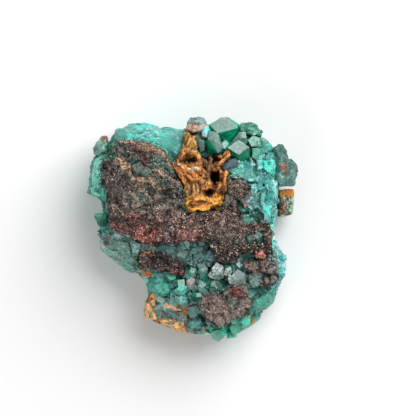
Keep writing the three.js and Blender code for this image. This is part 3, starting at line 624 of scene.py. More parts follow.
SHEETS = [  # colour, rise over the smooth rock, slope along x and y, outline
    ((68, 144, 126), 1.5, (0.08, -0.12), [(9.8, 18.4), (13.6, 19.6), (17, 18.4), (18.1, 15), (17.4, 12.8),
        (14.8, 13.9), (11.6, 15.7), (9.8, 16.4)]),
    ((160, 196, 182), 1.9, (-0.1, 0.2), [(10.2, 19), (13.2, 19.9), (13.4, 18.9), (10.9, 18.2)]),
    ((166, 204, 190), 2.2, (0.3, 0.1), [(15.8, 20.7), (17.4, 20.4), (18, 18.2), (16.7, 17.1)]),
    ((112, 192, 172), 2.0, (0.2, 0.2), [(18.2, 19.8), (20, 20.2), (20.2, 17.4), (18.6, 16.6)]),
    ((84, 204, 180), 2.2, (0.1, 0.1), [(20, 19.8), (21.8, 20.2), (24.2, 18.4), (24.8, 16), (24.4, 14.8),
        (23, 15.6), (21.6, 16), (20.3, 17.4)]),
    ((80, 218, 194), 1.5, (0.2, -0.2), [(18.6, 13), (20, 13.2), (20.8, 11.9), (19.4, 11), (18.4, 11.8)]),
    ((120, 198, 178), 1.2, (0.3, 0.15), [(20.6, 14.4), (24.6, 14.2), (24.7, 11.4), (22.6, 10.8), (20.6, 12)]),
    ((72, 158, 140), 1.4, (0.1, 0.1), [(21.4, 10.4), (24.4, 10.8), (24.8, 7.6), (23.4, 6.5), (21.6, 7.2)]),
    ((98, 184, 164), 0.9, (-0.2, 0.1), [(19.6, 10.4), (21, 10.4), (21.4, 7.6), (20.6, 5.6), (19.4, 7)]),
    ((60, 218, 192), 1.6, (0.1, -0.1), [(20.6, 6.7), (22.3, 6.6), (22.6, 4.6), (21.8, 3.4), (20.8, 4.6)]),
    ((82, 118, 106), 1.4, (-0.04, 0.1), [(14.6, 10.4), (17.6, 11.8), (19.2, 9.2), (18.8, 6.2), (16.6, 5.2),
        (14.8, 7)]),
    ((142, 104, 98), 1.3, (-0.1, 0.1), [(13.4, 9), (15.4, 9.2), (16.2, 7), (14.6, 6)]),
    ((14, 66, 50), -1.8, (0, 0), [(16.4, 5), (18.8, 5.8), (20.2, 4.4), (20.1, 2.8), (17.6, 2.3),
        (16.2, 3.2)]),
    ((136, 118, 104), 1.6, (0.05, 0.1), [(8.9, 5.8), (9.3, 9.8), (12, 10.2), (12.6, 8), (11.8, 6),
        (10.6, 5.2)]),
    ((84, 196, 176), 1.0, (0.2, 0), [(22.4, 3), (24, 3), (23.8, 0), (22.8, -1.2), (22.2, 0.6)]),
    ((140, 192, 184), 1.3, (0.3, 0), [(22.6, -1.4), (24, -0.8), (24.4, -4), (23.2, -6), (22.6, -3.4)]),
    ((120, 172, 164), 1.2, (-0.1, 0.1), [(23, -6.2), (25.4, -5.4), (26.6, -9), (26.4, -11.6), (24.6, -12.2),
        (23.4, -9.4)]),
    ((92, 172, 154), 1.0, (0.1, 0.1), [(24.6, -12.4), (26.2, -12), (25.4, -15), (24.2, -17.6),
        (23.4, -16.4)]),
    ((80, 226, 202), 1.4, (0.2, 0), [(22.4, -16.4), (24, -16.2), (23.6, -18.4), (22, -18)]),
    ((80, 156, 132), 1.2, (-0.08, 0.12), [(17.4, -21.6), (20.2, -18.8), (23.4, -18.8), (23.2, -21.4),
        (20.6, -24.4), (18, -25.8), (16.4, -24.4)]),
    ((170, 130, 50), 1.6, (0, 0.2), [(14.4, -25.8), (16.2, -25), (18, -25.4), (17, -27), (14.8, -27.4)]),
    ((222, 192, 136), 1.9, (0, 0.4), [(13.8, -25.2), (16.2, -24.7), (17.6, -25.1), (16, -25.8)]),
    ((12, 74, 54), -1.4, (0, 0), [(9.8, -25.8), (12.8, -24.6), (12.9, -25.4), (10.4, -27)]),
    ((146, 166, 160), 2.0, (-0.1, 0.05), [(11.2, -9.9), (13.8, -9.7), (15.2, -11), (15, -14), (12.4, -14.4),
        (11.4, -12.6)]),
    ((138, 164, 154), 1.6, (0.02, 0.1), [(16.2, -12.2), (20, -12), (20.6, -13), (19.6, -15.7), (17, -16.3),
        (15.7, -14.4)]),
    ((50, 112, 96), -0.4, (0, 0), [(16, -16.7), (21.2, -16.2), (22, -17.3), (18, -17.4)]),
    ((110, 150, 136), 1.3, (0.02, -0.05), [(-17.6, -3.4), (-12.6, -4), (-9.8, -5), (-10.6, -6), (-14, -5.8),
        (-17, -6.2)]),
    ((108, 160, 138), 0.9, (0.05, 0.05), [(-22.8, -3), (-18, -3.6), (-17.2, -7), (-19.6, -10), (-22.6, -8)]),
    ((76, 156, 130), 0.8, (0.1, 0.1), [(-20, -10.2), (-17, -9.6), (-16, -12), (-18, -12.9), (-19.8, -11.6)]),
    ((112, 152, 136), 1.0, (0.1, 0), [(-10.6, -19.6), (-6.4, -19.2), (-5.6, -21.6), (-8.8, -23), (-11, -22)]),
    ((80, 98, 94), 0.8, (0, 0.1), [(-9, -23.6), (-5.4, -22.8), (-3.2, -24), (-4.2, -26), (-8.6, -25.6)]),
    ((100, 142, 130), 1.6, (0.1, 0.2), [(-2, -22.4), (1.6, -21.4), (2.8, -23.6), (0.6, -25.2),
        (-1.6, -24.6)]),
    ((132, 172, 152), 1.2, (-0.1, 0.1), [(3.4, -23), (5.4, -24), (6.8, -27.4), (4.4, -27)]),
    ((98, 190, 162), 0.9, (-0.1, 0.1), [(-27.6, 19.4), (-24.8, 19.6), (-25, 14), (-26.6, 12.2), (-28, 13.6)]),
    ((84, 176, 146), 0.6, (-0.2, 0), [(-27.4, 12), (-25.4, 12.6), (-24.8, 9.6), (-25.6, 8.2), (-27.4, 9.4)]),
]
print("single faces:", len(SHEETS))

# %% Veins, hollows, stains and painted light

VEINS = [  # ragged veins and cracks: colour, line, half the width in mm
    ((14, 40, 32), [(12.2, 8.8), (13.6, 7.2), (15, 5.6), (16.8, 3.9), (19, 2)], 0.32),
    ((16, 56, 44), [(-19.4, -2.6), (-14, -3.4), (-9, -4.9)], 0.25),
    ((28, 108, 94), [(20.6, 14.4), (21.4, 11), (20.8, 8), (21.4, 5)], 0.22),
    ((34, 116, 100), [(22.4, 10.8), (23.4, 8.6), (24.4, 6.6)], 0.2),
    ((26, 100, 86), [(17.4, 13.6), (19, 12.8), (20.2, 14.4)], 0.25),
    ((40, 124, 108), [(20.2, 15.4), (21.8, 15), (24.2, 14.2)], 0.18),
    ((30, 110, 92), [(11, 16.2), (13, 17.4), (15.4, 16.8), (17.2, 18.2)], 0.22),
    ((36, 112, 98), [(23.6, -6), (24.4, -9), (24, -12.4)], 0.2),
    ((206, 132, 70), [(-14.6, -11.6), (-13.4, -12.6), (-12, -12.2)], 0.4),
    ((226, 164, 106), [(-7.6, -21), (-6.2, -21.8), (-4.9, -22), (-4.5, -22.9), (-2.8, -22.7), (-1.2, -22.3)],
        0.32),
    ((222, 150, 70), [(-10.9, -18.6), (-11.8, -20), (-12.6, -21.8), (-12.8, -23.4), (-11.8, -25.2)], 0.7),
    ((214, 136, 62), [(-9.6, -26.2), (-7.4, -26.4), (-5, -26.8), (-2.6, -26.4), (-1.6, -27.4)], 0.7),
    ((222, 140, 66), [(-3, -28.6), (0, -28.9), (2.6, -28.6), (4.8, -28.2)], 0.4),
    ((214, 120, 50), [(-14, -11.9), (-12.9, -12.9), (-11.8, -12.6)], 0.45),
    ((228, 150, 70), [(-9.9, -18.4), (-10.7, -19.6)], 0.25),
    ((200, 140, 70), [(-5.8, -19.3), (-5.4, -20.4)], 0.2),
]
HOLLOW_DEPTH = 1.3
CRUST_BED = 3.0  # how far the rock sinks under the crusts, in mm
VUG_BED = 6.5  # and under the limonite
HOLLOWS = [  # middle and half widths of clefts and holes
    ((12.9, 7), (0.4, 1.4)), ((14.4, 4.6), (2, 0.4)), ((10.4, 20.4), (1.6, 0.7)), ((20, 12.6), (0.9, 0.4)),
    ((-15.2, 27.4), (1.1, 0.45)), ((16, 13.1), (2.2, 0.35)), ((20.8, 22.6), (1.2, 0.5)),
    ((-24.1, 9.8), (0.5, 2)), ((3.6, 25.2), (0.8, 1.2)), ((-21.6, -6.4), (0.6, 0.5)),
    ((21.6, -11.8), (1.2, 0.4)),
]
STAINS_AND_PAINTED_LIGHT = [  # colour, middle, half widths
    ((62, 154, 132), (-7, 24.6), (3.4, 2.4)), ((52, 142, 116), (-22.6, 24.6), (2.2, 3.4)),
    ((58, 152, 126), (-20.2, 27), (2, 1.4)), ((134, 210, 196), (19.4, 16.8), (1.3, 1.6)),
    ((66, 208, 180), (20.8, 18.4), (1.6, 1.9)), ((66, 204, 178), (22.9, 16.8), (1.5, 1)),
    ((80, 208, 184), (19.5, 12), (1.1, 0.8)), ((66, 204, 178), (21.4, 5.4), (0.8, 1.6)),
    ((76, 222, 196), (24.5, 15.4), (0.4, 1.1)), ((60, 210, 182), (23.2, 1), (0.4, 1.6)),
    ((62, 200, 172), (22.7, -4.6), (0.35, 2.6)), ((70, 206, 180), (23, -15.6), (0.8, 1.2)),
    ((70, 222, 196), (4.2, 27.8), (0.9, 1.5)), ((96, 232, 210), (-25.8, 0.6), (1, 0.7)),
    ((84, 196, 176), (-13.6, 29.2), (4.6, 0.9)), ((70, 214, 184), (-16.4, 26.6), (2.2, 0.7)),
    ((60, 206, 170), (-11.4, 25.4), (1.8, 0.7)), ((64, 200, 168), (-7.8, 27), (1.4, 1)),
    # the two spots on the next line are painted highlights: white glints on the facets
    ((214, 240, 232), (17.6, 26.4), (1, 0.5)), ((196, 232, 222), (23.4, 13.6), (0.4, 1.4)),
    ((206, 236, 226), (23.7, -2.4), (0.35, 1.6)), ((180, 226, 212), (20.6, 16.4), (0.5, 0.6)),
    # the second spot on the next line and the first on the line after are painted light over the crust's
    # shadow on the step
    ((190, 206, 198), (-21.4, -1.6), (1.5, 0.7)), ((142, 168, 160), (-4.4, -4.9), (3.4, 0.9)),
    ((142, 160, 152), (1.6, -4.9), (2.8, 0.8)), ((206, 216, 206), (-18.4, -1.2), (0.6, 0.3)),
    ((150, 60, 30), (-13.2, -13), (1, 0.3)), ((228, 172, 118), (-6.3, -21.8), (1.1, 0.4)),
    ((230, 176, 124), (-2.6, -22.8), (1.7, 0.35)), ((226, 146, 60), (-5.6, -19.9), (0.4, 0.3)),
    ((130, 96, 92), (-9.2, -24), (1, 0.5)), ((222, 164, 96), (-11.4, -19.2), (0.8, 0.3)),
    ((116, 92, 92), (-24.4, -3), (0.9, 2.2)), ((104, 92, 84), (-26, -4.2), (0.7, 1.4)),
]
print("veins, hollows and stains:", len(VEINS), len(HOLLOWS), len(STAINS_AND_PAINTED_LIGHT))

# %% Shape the green rock


def relief(p):
    """How far the broken rock stands out from its smooth form, in mm, and the facets' random numbers. Some
    regions are calmer than the rest: large smooth faces with a fine grain."""
    calm = np.zeros(len(p))
    for n in CALM_REGIONS:
        calm = np.maximum(calm, ramp(inside(p, REGIONS[n][0]), -1, 1))
    large, broad_chance, _ = facets(p, 6.5, 0.5, 1)
    medium, chance, edge = facets(p + 0.3 * noise(p, 2.5, 5)[:, None], 2.4, 0.75, 2)
    small, fine_chance, _ = facets(p, 1.0, 0.7, 3)
    height = (0.7 * large + 0.9 * (1 - 0.6 * calm) * medium + 0.6 * (1 - 0.85 * calm) * small
              + 0.14 * rough(p, 0.9, 3, 4))
    return height, broad_chance, chance, fine_chance, edge


def fibres(p):
    """The folded, fibrous cap: ridged noise, 1 - 2|noise|, on coordinates stretched along the cap."""
    bent = p + 1.8 * swirl(p, 5, 6)
    along = np.column_stack([0.25 * bent[:, 0] - 0.1 * bent[:, 1], bent[:, 1] + 0.3 * bent[:, 0], bent[:, 2]])
    return 1 - 2 * np.abs(rough(along, 1.3, 3, 9))


# the pale rim that such a face gets is a painted highlight
LIT_RIM_SHEET = 380  # a face whose three colour values add up to more has a pale rim
SHEET_REACH = 14.0  # all of a face lies within this distance of its first corner


def sheet_masks(p):
    """For each single face: how much of it there is at each point, and its level over the smooth rock."""
    for colour, rise, slope, outline in SHEETS:
        near = np.hypot(*(p[:, :2] - outline[0]).T) < SHEET_REACH
        mask, level = np.zeros(len(p)), np.zeros(len(p))
        middle = np.mean(outline, axis=0)
        wobble = 0.25 * rough(p[near], 1.5, 2, 16)
        mask[near] = ramp(inside(p[near], outline) + wobble, -0.12, 0.2)
        level[near] = rise + (p[near, :2] - middle).dot(slope)
        yield colour, mask, level


def shape_rock(smooth, wallness, outward):
    """Moves the smooth rock's points: up on the top, inwards on the side, and blended between by `wallness`.
    The rock swells up to the crusts' edges and sinks away under them."""
    lift, broad_chance, chance, fine_chance, edge = relief(smooth)
    cap = ramp(inside(smooth, CAP), -0.6, 1.2)
    fibre = fibres(smooth)
    bulge = ramp(np.sin(np.clip(inside(smooth, CAP), 0, 5) / 5 * np.pi), 0, 1)
    silk = rough(smooth, 3.6, 2, 18)
    up = lift * (1 - 0.95 * cap) + cap * (0.12 * fibre + 0.7 * silk + 1.4 * bulge)
    for _, mask, level in sheet_masks(smooth):
        up = up * (1 - mask) + mask * (level + 0.1 * lift)
    for at, radii in HOLLOWS:
        up -= HOLLOW_DEPTH * ramp(1.3 - oval(smooth, at, radii), 0, 0.8)
    cover = read(crust_cover, smooth) + 0.14 * rough(smooth, 2.2, 3, 17)
    reach = read(crust_level, smooth) - 0.9 - (smooth[:, 2] + up)
    up += 0.8 * np.clip(reach, 0, 3) * ramp(cover, 0.05, 0.42)
    up -= CRUST_BED * ramp(cover, 0.55, 0.9)
    up -= VUG_BED * ramp(inside(smooth, VUG), -0.5, 0.7)
    side = np.clip(1.1 * lift * (1 - 0.8 * cap) - 0.15, -1.6, 0.3)
    floor = ramp(smooth[:, 2], 0.1, 3)
    moved = smooth.copy()
    moved[:, :2] += outward * (wallness * side * (0.25 + 0.75 * floor))[:, None]
    moved[:, 2] += ((1 - wallness) * up + wallness * 0.5 * lift * (1 - 0.9 * cap)) * floor
    return moved, lift, broad_chance, chance, fine_chance, edge, cap, fibre


print("the facets' height over the middle in mm:", relief(np.zeros((1, 3)))[0].round(2))

# %% Paint the green rock


def paint_rock(smooth, p, lift, broad_chance, chance, fine_chance, edge, cap, fibre):
    """The rock's colours: each facet has one green of its region's family. Some facets are painted pale at
    their edges as a highlight and others dark there as shade in the creases, and all of it is painted lighter
    where the relief stands high and darker where it sinks, as painted light and shade.
    """
    paint = Paint(smooth, (54, 122, 104))
    whole = np.ones(len(p))
    paint.mosaic(PLAIN_GREENS, whole, chance)
    masks = [area_mask(smooth, outline, 0.8, 0.25, 31 + n) for n, (outline, _) in enumerate(REGIONS)]
    for n, (mask, (_, greens)) in enumerate(zip(masks, REGIONS)):
        calm = n in CALM_REGIONS
        paint.mosaic(greens, mask, broad_chance if calm else chance)
        paint.mosaic(greens[::-1], (0.3 if calm else 0.4) * mask, chance if calm else fine_chance)
    # painted highlight and shade: pale along the edges of some facets, dark in the creases at the edges of
    # others
    paint.over((176, 224, 208), 0.2 * ramp(0.24 - edge, 0, 0.2) * (chance > 0.55))
    paint.over((14, 60, 48), 0.45 * ramp(0.25 - edge, 0, 0.2) * (chance < 0.3))
    for colour, mask, level in sheet_masks(smooth):
        paint.over(colour, 0.92 * mask)
        # painted highlight: a pale rim round each pale face
        lit_rim = ramp(mask, 0.2, 0.5) * ramp(1 - mask, 0.02, 0.4)
        paint.over((186, 228, 214), 0.55 * lit_rim * (sum(colour) > LIT_RIM_SHEET))
    specks = (rough(smooth, 0.6, 2, 48), rough(smooth, 0.6, 2, 49))
    for n, colours in FLECKS.items():
        for colour, speck in zip(colours, specks):
            paint.over(colour, 0.65 * masks[n] * ramp(speck, 0.1, 0.35))
    paint.over((71, 159, 144), 0.97 * cap)
    paint.blotch((126, 166, 164), 0.6 * cap, 4, 3, 43, 0.05, 0.4)
    paint.blotch((28, 158, 126), 0.8 * cap, 3.4, 3, 44, 0.1, 0.4)
    # painted highlight and shade: lighter on the crests of the cap's fibres, darker in the grooves between
    # them
    paint.over((116, 200, 186), cap * ramp(fibre, 0.4, 0.95) * 0.6)
    paint.over((44, 128, 110), cap * ramp(-fibre, 0.0, 0.7) * 0.5)
    paint.blotch((184, 222, 214), 0.5 * cap, 0.6, 2, 50, 0.15, 0.4)
    paint.blotch((34, 112, 94), 0.55 * cap, 0.8, 3, 51, 0.15, 0.45)
    paint.blotch((140, 206, 190), 0.4 * (1 - 0.7 * cap), 0.7, 2, 41, 0.35, 0.7)
    paint.blotch((24, 58, 46), 0.6 * (1 - cap), 1.3, 3, 42, 0.4, 0.75)
    near_crust = read(crust_cover, smooth) + 0.3 * rough(smooth, 1.4, 3, 45)
    paint.blotch((84, 70, 64), 0.75 * ramp(near_crust, 0.12, 0.4), 0.8, 2, 46, -0.25, 0.2)
    for n, (colour, line, width) in enumerate(VEINS):
        paint.line(colour, line, width, 0.95, 150 + 3 * n)
    # painted shade: the clefts and holes, sunk into the rock, are painted nearly black
    for n, (at, radii) in enumerate(HOLLOWS):
        paint.spot((12, 52, 42), at, (1.2 * radii[0], 1.2 * radii[1]), 0.85, 0.4, 70 + n)
    # stains, some of them painted highlights and painted light where the crust's shadow falls
    for n, (colour, at, radii) in enumerate(STAINS_AND_PAINTED_LIGHT):
        paint.spot(colour, at, radii, 0.9, 0.45, 100 + n)
    # painted light and shade: lighter where the relief stands high, darker where it sinks
    return paint.shade(np.clip(1 + 0.25 * lift * (1 - cap), 0.6, 1.3)).rgb


print("cap width in mm:", round(float(inside(np.array([[-12.0, 27.0, 0]]), CAP)[0]), 2))

# %% [markdown]
# ## The look of rough stone
#
# The paint on the vertices is as fine as the mesh, about a fifth of a millimetre. Finer grain than that comes
# from the material: noise changes the painted colour a little, and a bump gives every patch its own tooth.
# A varying roughness matters as much as the colour, because fresh cleavage glints and weathered skin doesn't.

# %% A material for rough stone


def stone(name, variety, vary=0.5, tooth=0.08, grain=0.35, dull=(0.42, 0.75), light=1.0):
    """Painted stone: its tint, with a second colour mixed in by noise, and a bump of `tooth` mm. Fine noise
    makes it darker and lighter, a little more so in blue, and `light` scales that."""
    s = Shader(name)
    wide = s.noise(2.2, 5.0, 0.62, 0.3)
    fine = s.noise(grain, 4.0, 0.65)
    colour = s.mix(s.ramp(wide, 0.5, 0.72) * vary, s.tint(), variety)
    shade = s.ramp(fine, 0.3, 0.72, 0.5 * light, 1.74 * light)
    colour = s.shaded(colour, shade, 1.13)
    rough_part = s.ramp(fine * 0.5 + wide * 0.5, 0.35, 0.65, dull[0], dull[1])
    height = fine + s.crystals(grain * 1.6) * 0.6
    return s.surface(colour, rough_part, s.bump(height, tooth), **{"Specular IOR Level": 0.55})


green_stone = stone("green_rock", (0.10, 0.36, 0.28, 1), 0.35)
print("nodes in the green stone:", len(green_stone.node_tree.nodes))

# %% Build the rock

WALL_START = 0.6  # share of the outline at which the side's roughness begins
LID_HEIGHT = 9.0  # the top and the side are closed inside at these heights, in mm
PLUG_HEIGHT = 14.0


def over_centre(height):
    """The point over the middle of the outline at a height."""
    return np.array([[*ROCK_CENTRE, height]])


top_outward = np.stack([dx, dy], axis=1) / (np.hypot(dx, dy)[:, None] + 1e-9)
top_wallness = 0.5 * ramp(top_share, WALL_START, RIM_SHARE)
rock_top, *marks = shape_rock(top_smooth, top_wallness, top_outward)
lid = np.stack([rim, np.roll(rim, 1), np.full(len(rim), len(rock_top))], axis=1)
top_points = np.vstack([rock_top, over_centre(LID_HEIGHT)])
tint = np.vstack([paint_rock(top_smooth, rock_top, *marks), linear((40, 60, 50))[None]])
place("rock_top", top_points, [top_faces, lid], green_stone, "green_rock", ["matrix"], tint)

side_outward = np.tile(np.stack([np.cos(rim_angle), np.sin(rim_angle)], axis=1), (SIDE_ROWS, 1))
side_wallness = np.repeat(0.5 + 0.5 * ramp(drop, 0, 0.3), len(rim))
rock_side, *marks = shape_rock(side_smooth, side_wallness, side_outward)
side_tint = paint_rock(side_smooth, rock_side, *marks)
base = np.stack([ring[-1], np.full(len(rim), len(rock_side)), after[-1]], axis=1)
inner = np.stack([ring[0], after[0], np.full(len(rim), len(rock_side) + 1)], axis=1)
side_points = np.vstack([rock_side, over_centre(0.0), over_centre(PLUG_HEIGHT)])
side_tint = np.vstack([side_tint, np.tile(linear((60, 70, 60)), (2, 1))])
place("rock_side", side_points, [side_faces, base, inner], green_stone, "green_rock", ["matrix"], side_tint)

# %% [markdown]
# ## Weathered bodies
#
# The crusts, the limonite and the rounded masses start from the frame's own solids, because their outlines
# and heights are already right. A copy of the solid is merged, since a CAD mesh is loose triangles, and Voxel
# Remesh turns it into an even skin of small squares. Noise then works on that skin as on any other array.

# %% Copy a CAD solid as an even skin

SEAT_FILL = 0.7  # mm by which a joined neighbour is lowered into its seat


def skin_of(nodes, voxel, extra=(), swell=0.0, sunk=()):
    """Points in mm, square faces and normals of the skin round some CAD nodes, with cells of `voxel` mm.
    `extra` is a list of (points, faces) bodies to join in first; `swell` mm is added all round before the
    remesh, which also closes the narrow seats that were cut for neighbours. Nodes in `sunk` are joined in a
    little lower, to fill the seats that they stand in."""
    shape = bmesh.new()
    for node in nodes:
        shape.from_mesh(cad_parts[node].data)
    for node in sunk:
        before = len(shape.verts)
        shape.from_mesh(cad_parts[node].data)
        shape.verts.ensure_lookup_table()
        bmesh.ops.translate(shape, verts=shape.verts[before:], vec=(0, 0, -SEAT_FILL * MM))
    bmesh.ops.scale(shape, vec=(1 / MM, 1 / MM, 1 / MM), verts=shape.verts)
    bmesh.ops.remove_doubles(shape, verts=shape.verts, dist=1e-3)
    mesh = bpy.data.meshes.new("skin")
    shape.to_mesh(mesh)
    shape.free()
    mesh.materials.clear()
    for points, faces in extra:
        part = mesh_of("part", np.asarray(points) / MM, faces)
        joined = bmesh.new()
        joined.from_mesh(mesh)
        joined.from_mesh(part)
        joined.to_mesh(mesh)
        joined.free()
        bpy.data.meshes.remove(part)
    body = bpy.data.objects.new("skin", mesh)
    bpy.context.collection.objects.link(body)
    if swell:
        fatten = body.modifiers.new("swell", "DISPLACE")
        fatten.strength = swell
        fatten.mid_level = 0
    remesh = body.modifiers.new("even", "REMESH")
    remesh.mode = "VOXEL"
    remesh.voxel_size = voxel
    done = bpy.data.meshes.new_from_object(body.evaluated_get(bpy.context.evaluated_depsgraph_get()))
    points = np.empty(len(done.vertices) * 3)
    done.vertices.foreach_get("co", points)
    faces = np.empty(len(done.loops), dtype=np.int64)
    done.loops.foreach_get("vertex_index", faces)
    sizes = np.empty(len(done.polygons), dtype=np.int64)
    done.polygons.foreach_get("loop_total", sizes)
    assert (sizes == 4).all(), "the remesh made a face that isn't square"
    bpy.data.objects.remove(body)
    bpy.data.meshes.remove(done)
    points, faces = points.reshape(-1, 3), faces.reshape(-1, 4)
    return points, faces, normals_of(points, [faces])


print("seats are filled by", SEAT_FILL, "mm")

# %% [markdown]
# ## The brown druse
#
# Druse is a skin of tiny crystals, here dark brown to wine red. On a skin with cells of 0.2 mm the crystals
# are cellular noise: each scattered point makes a little peak. Larger noise gives the crust its hummocks, its
# ledges and the ragged edge where it breaks off over the green rock.

# %% The map of the crusts

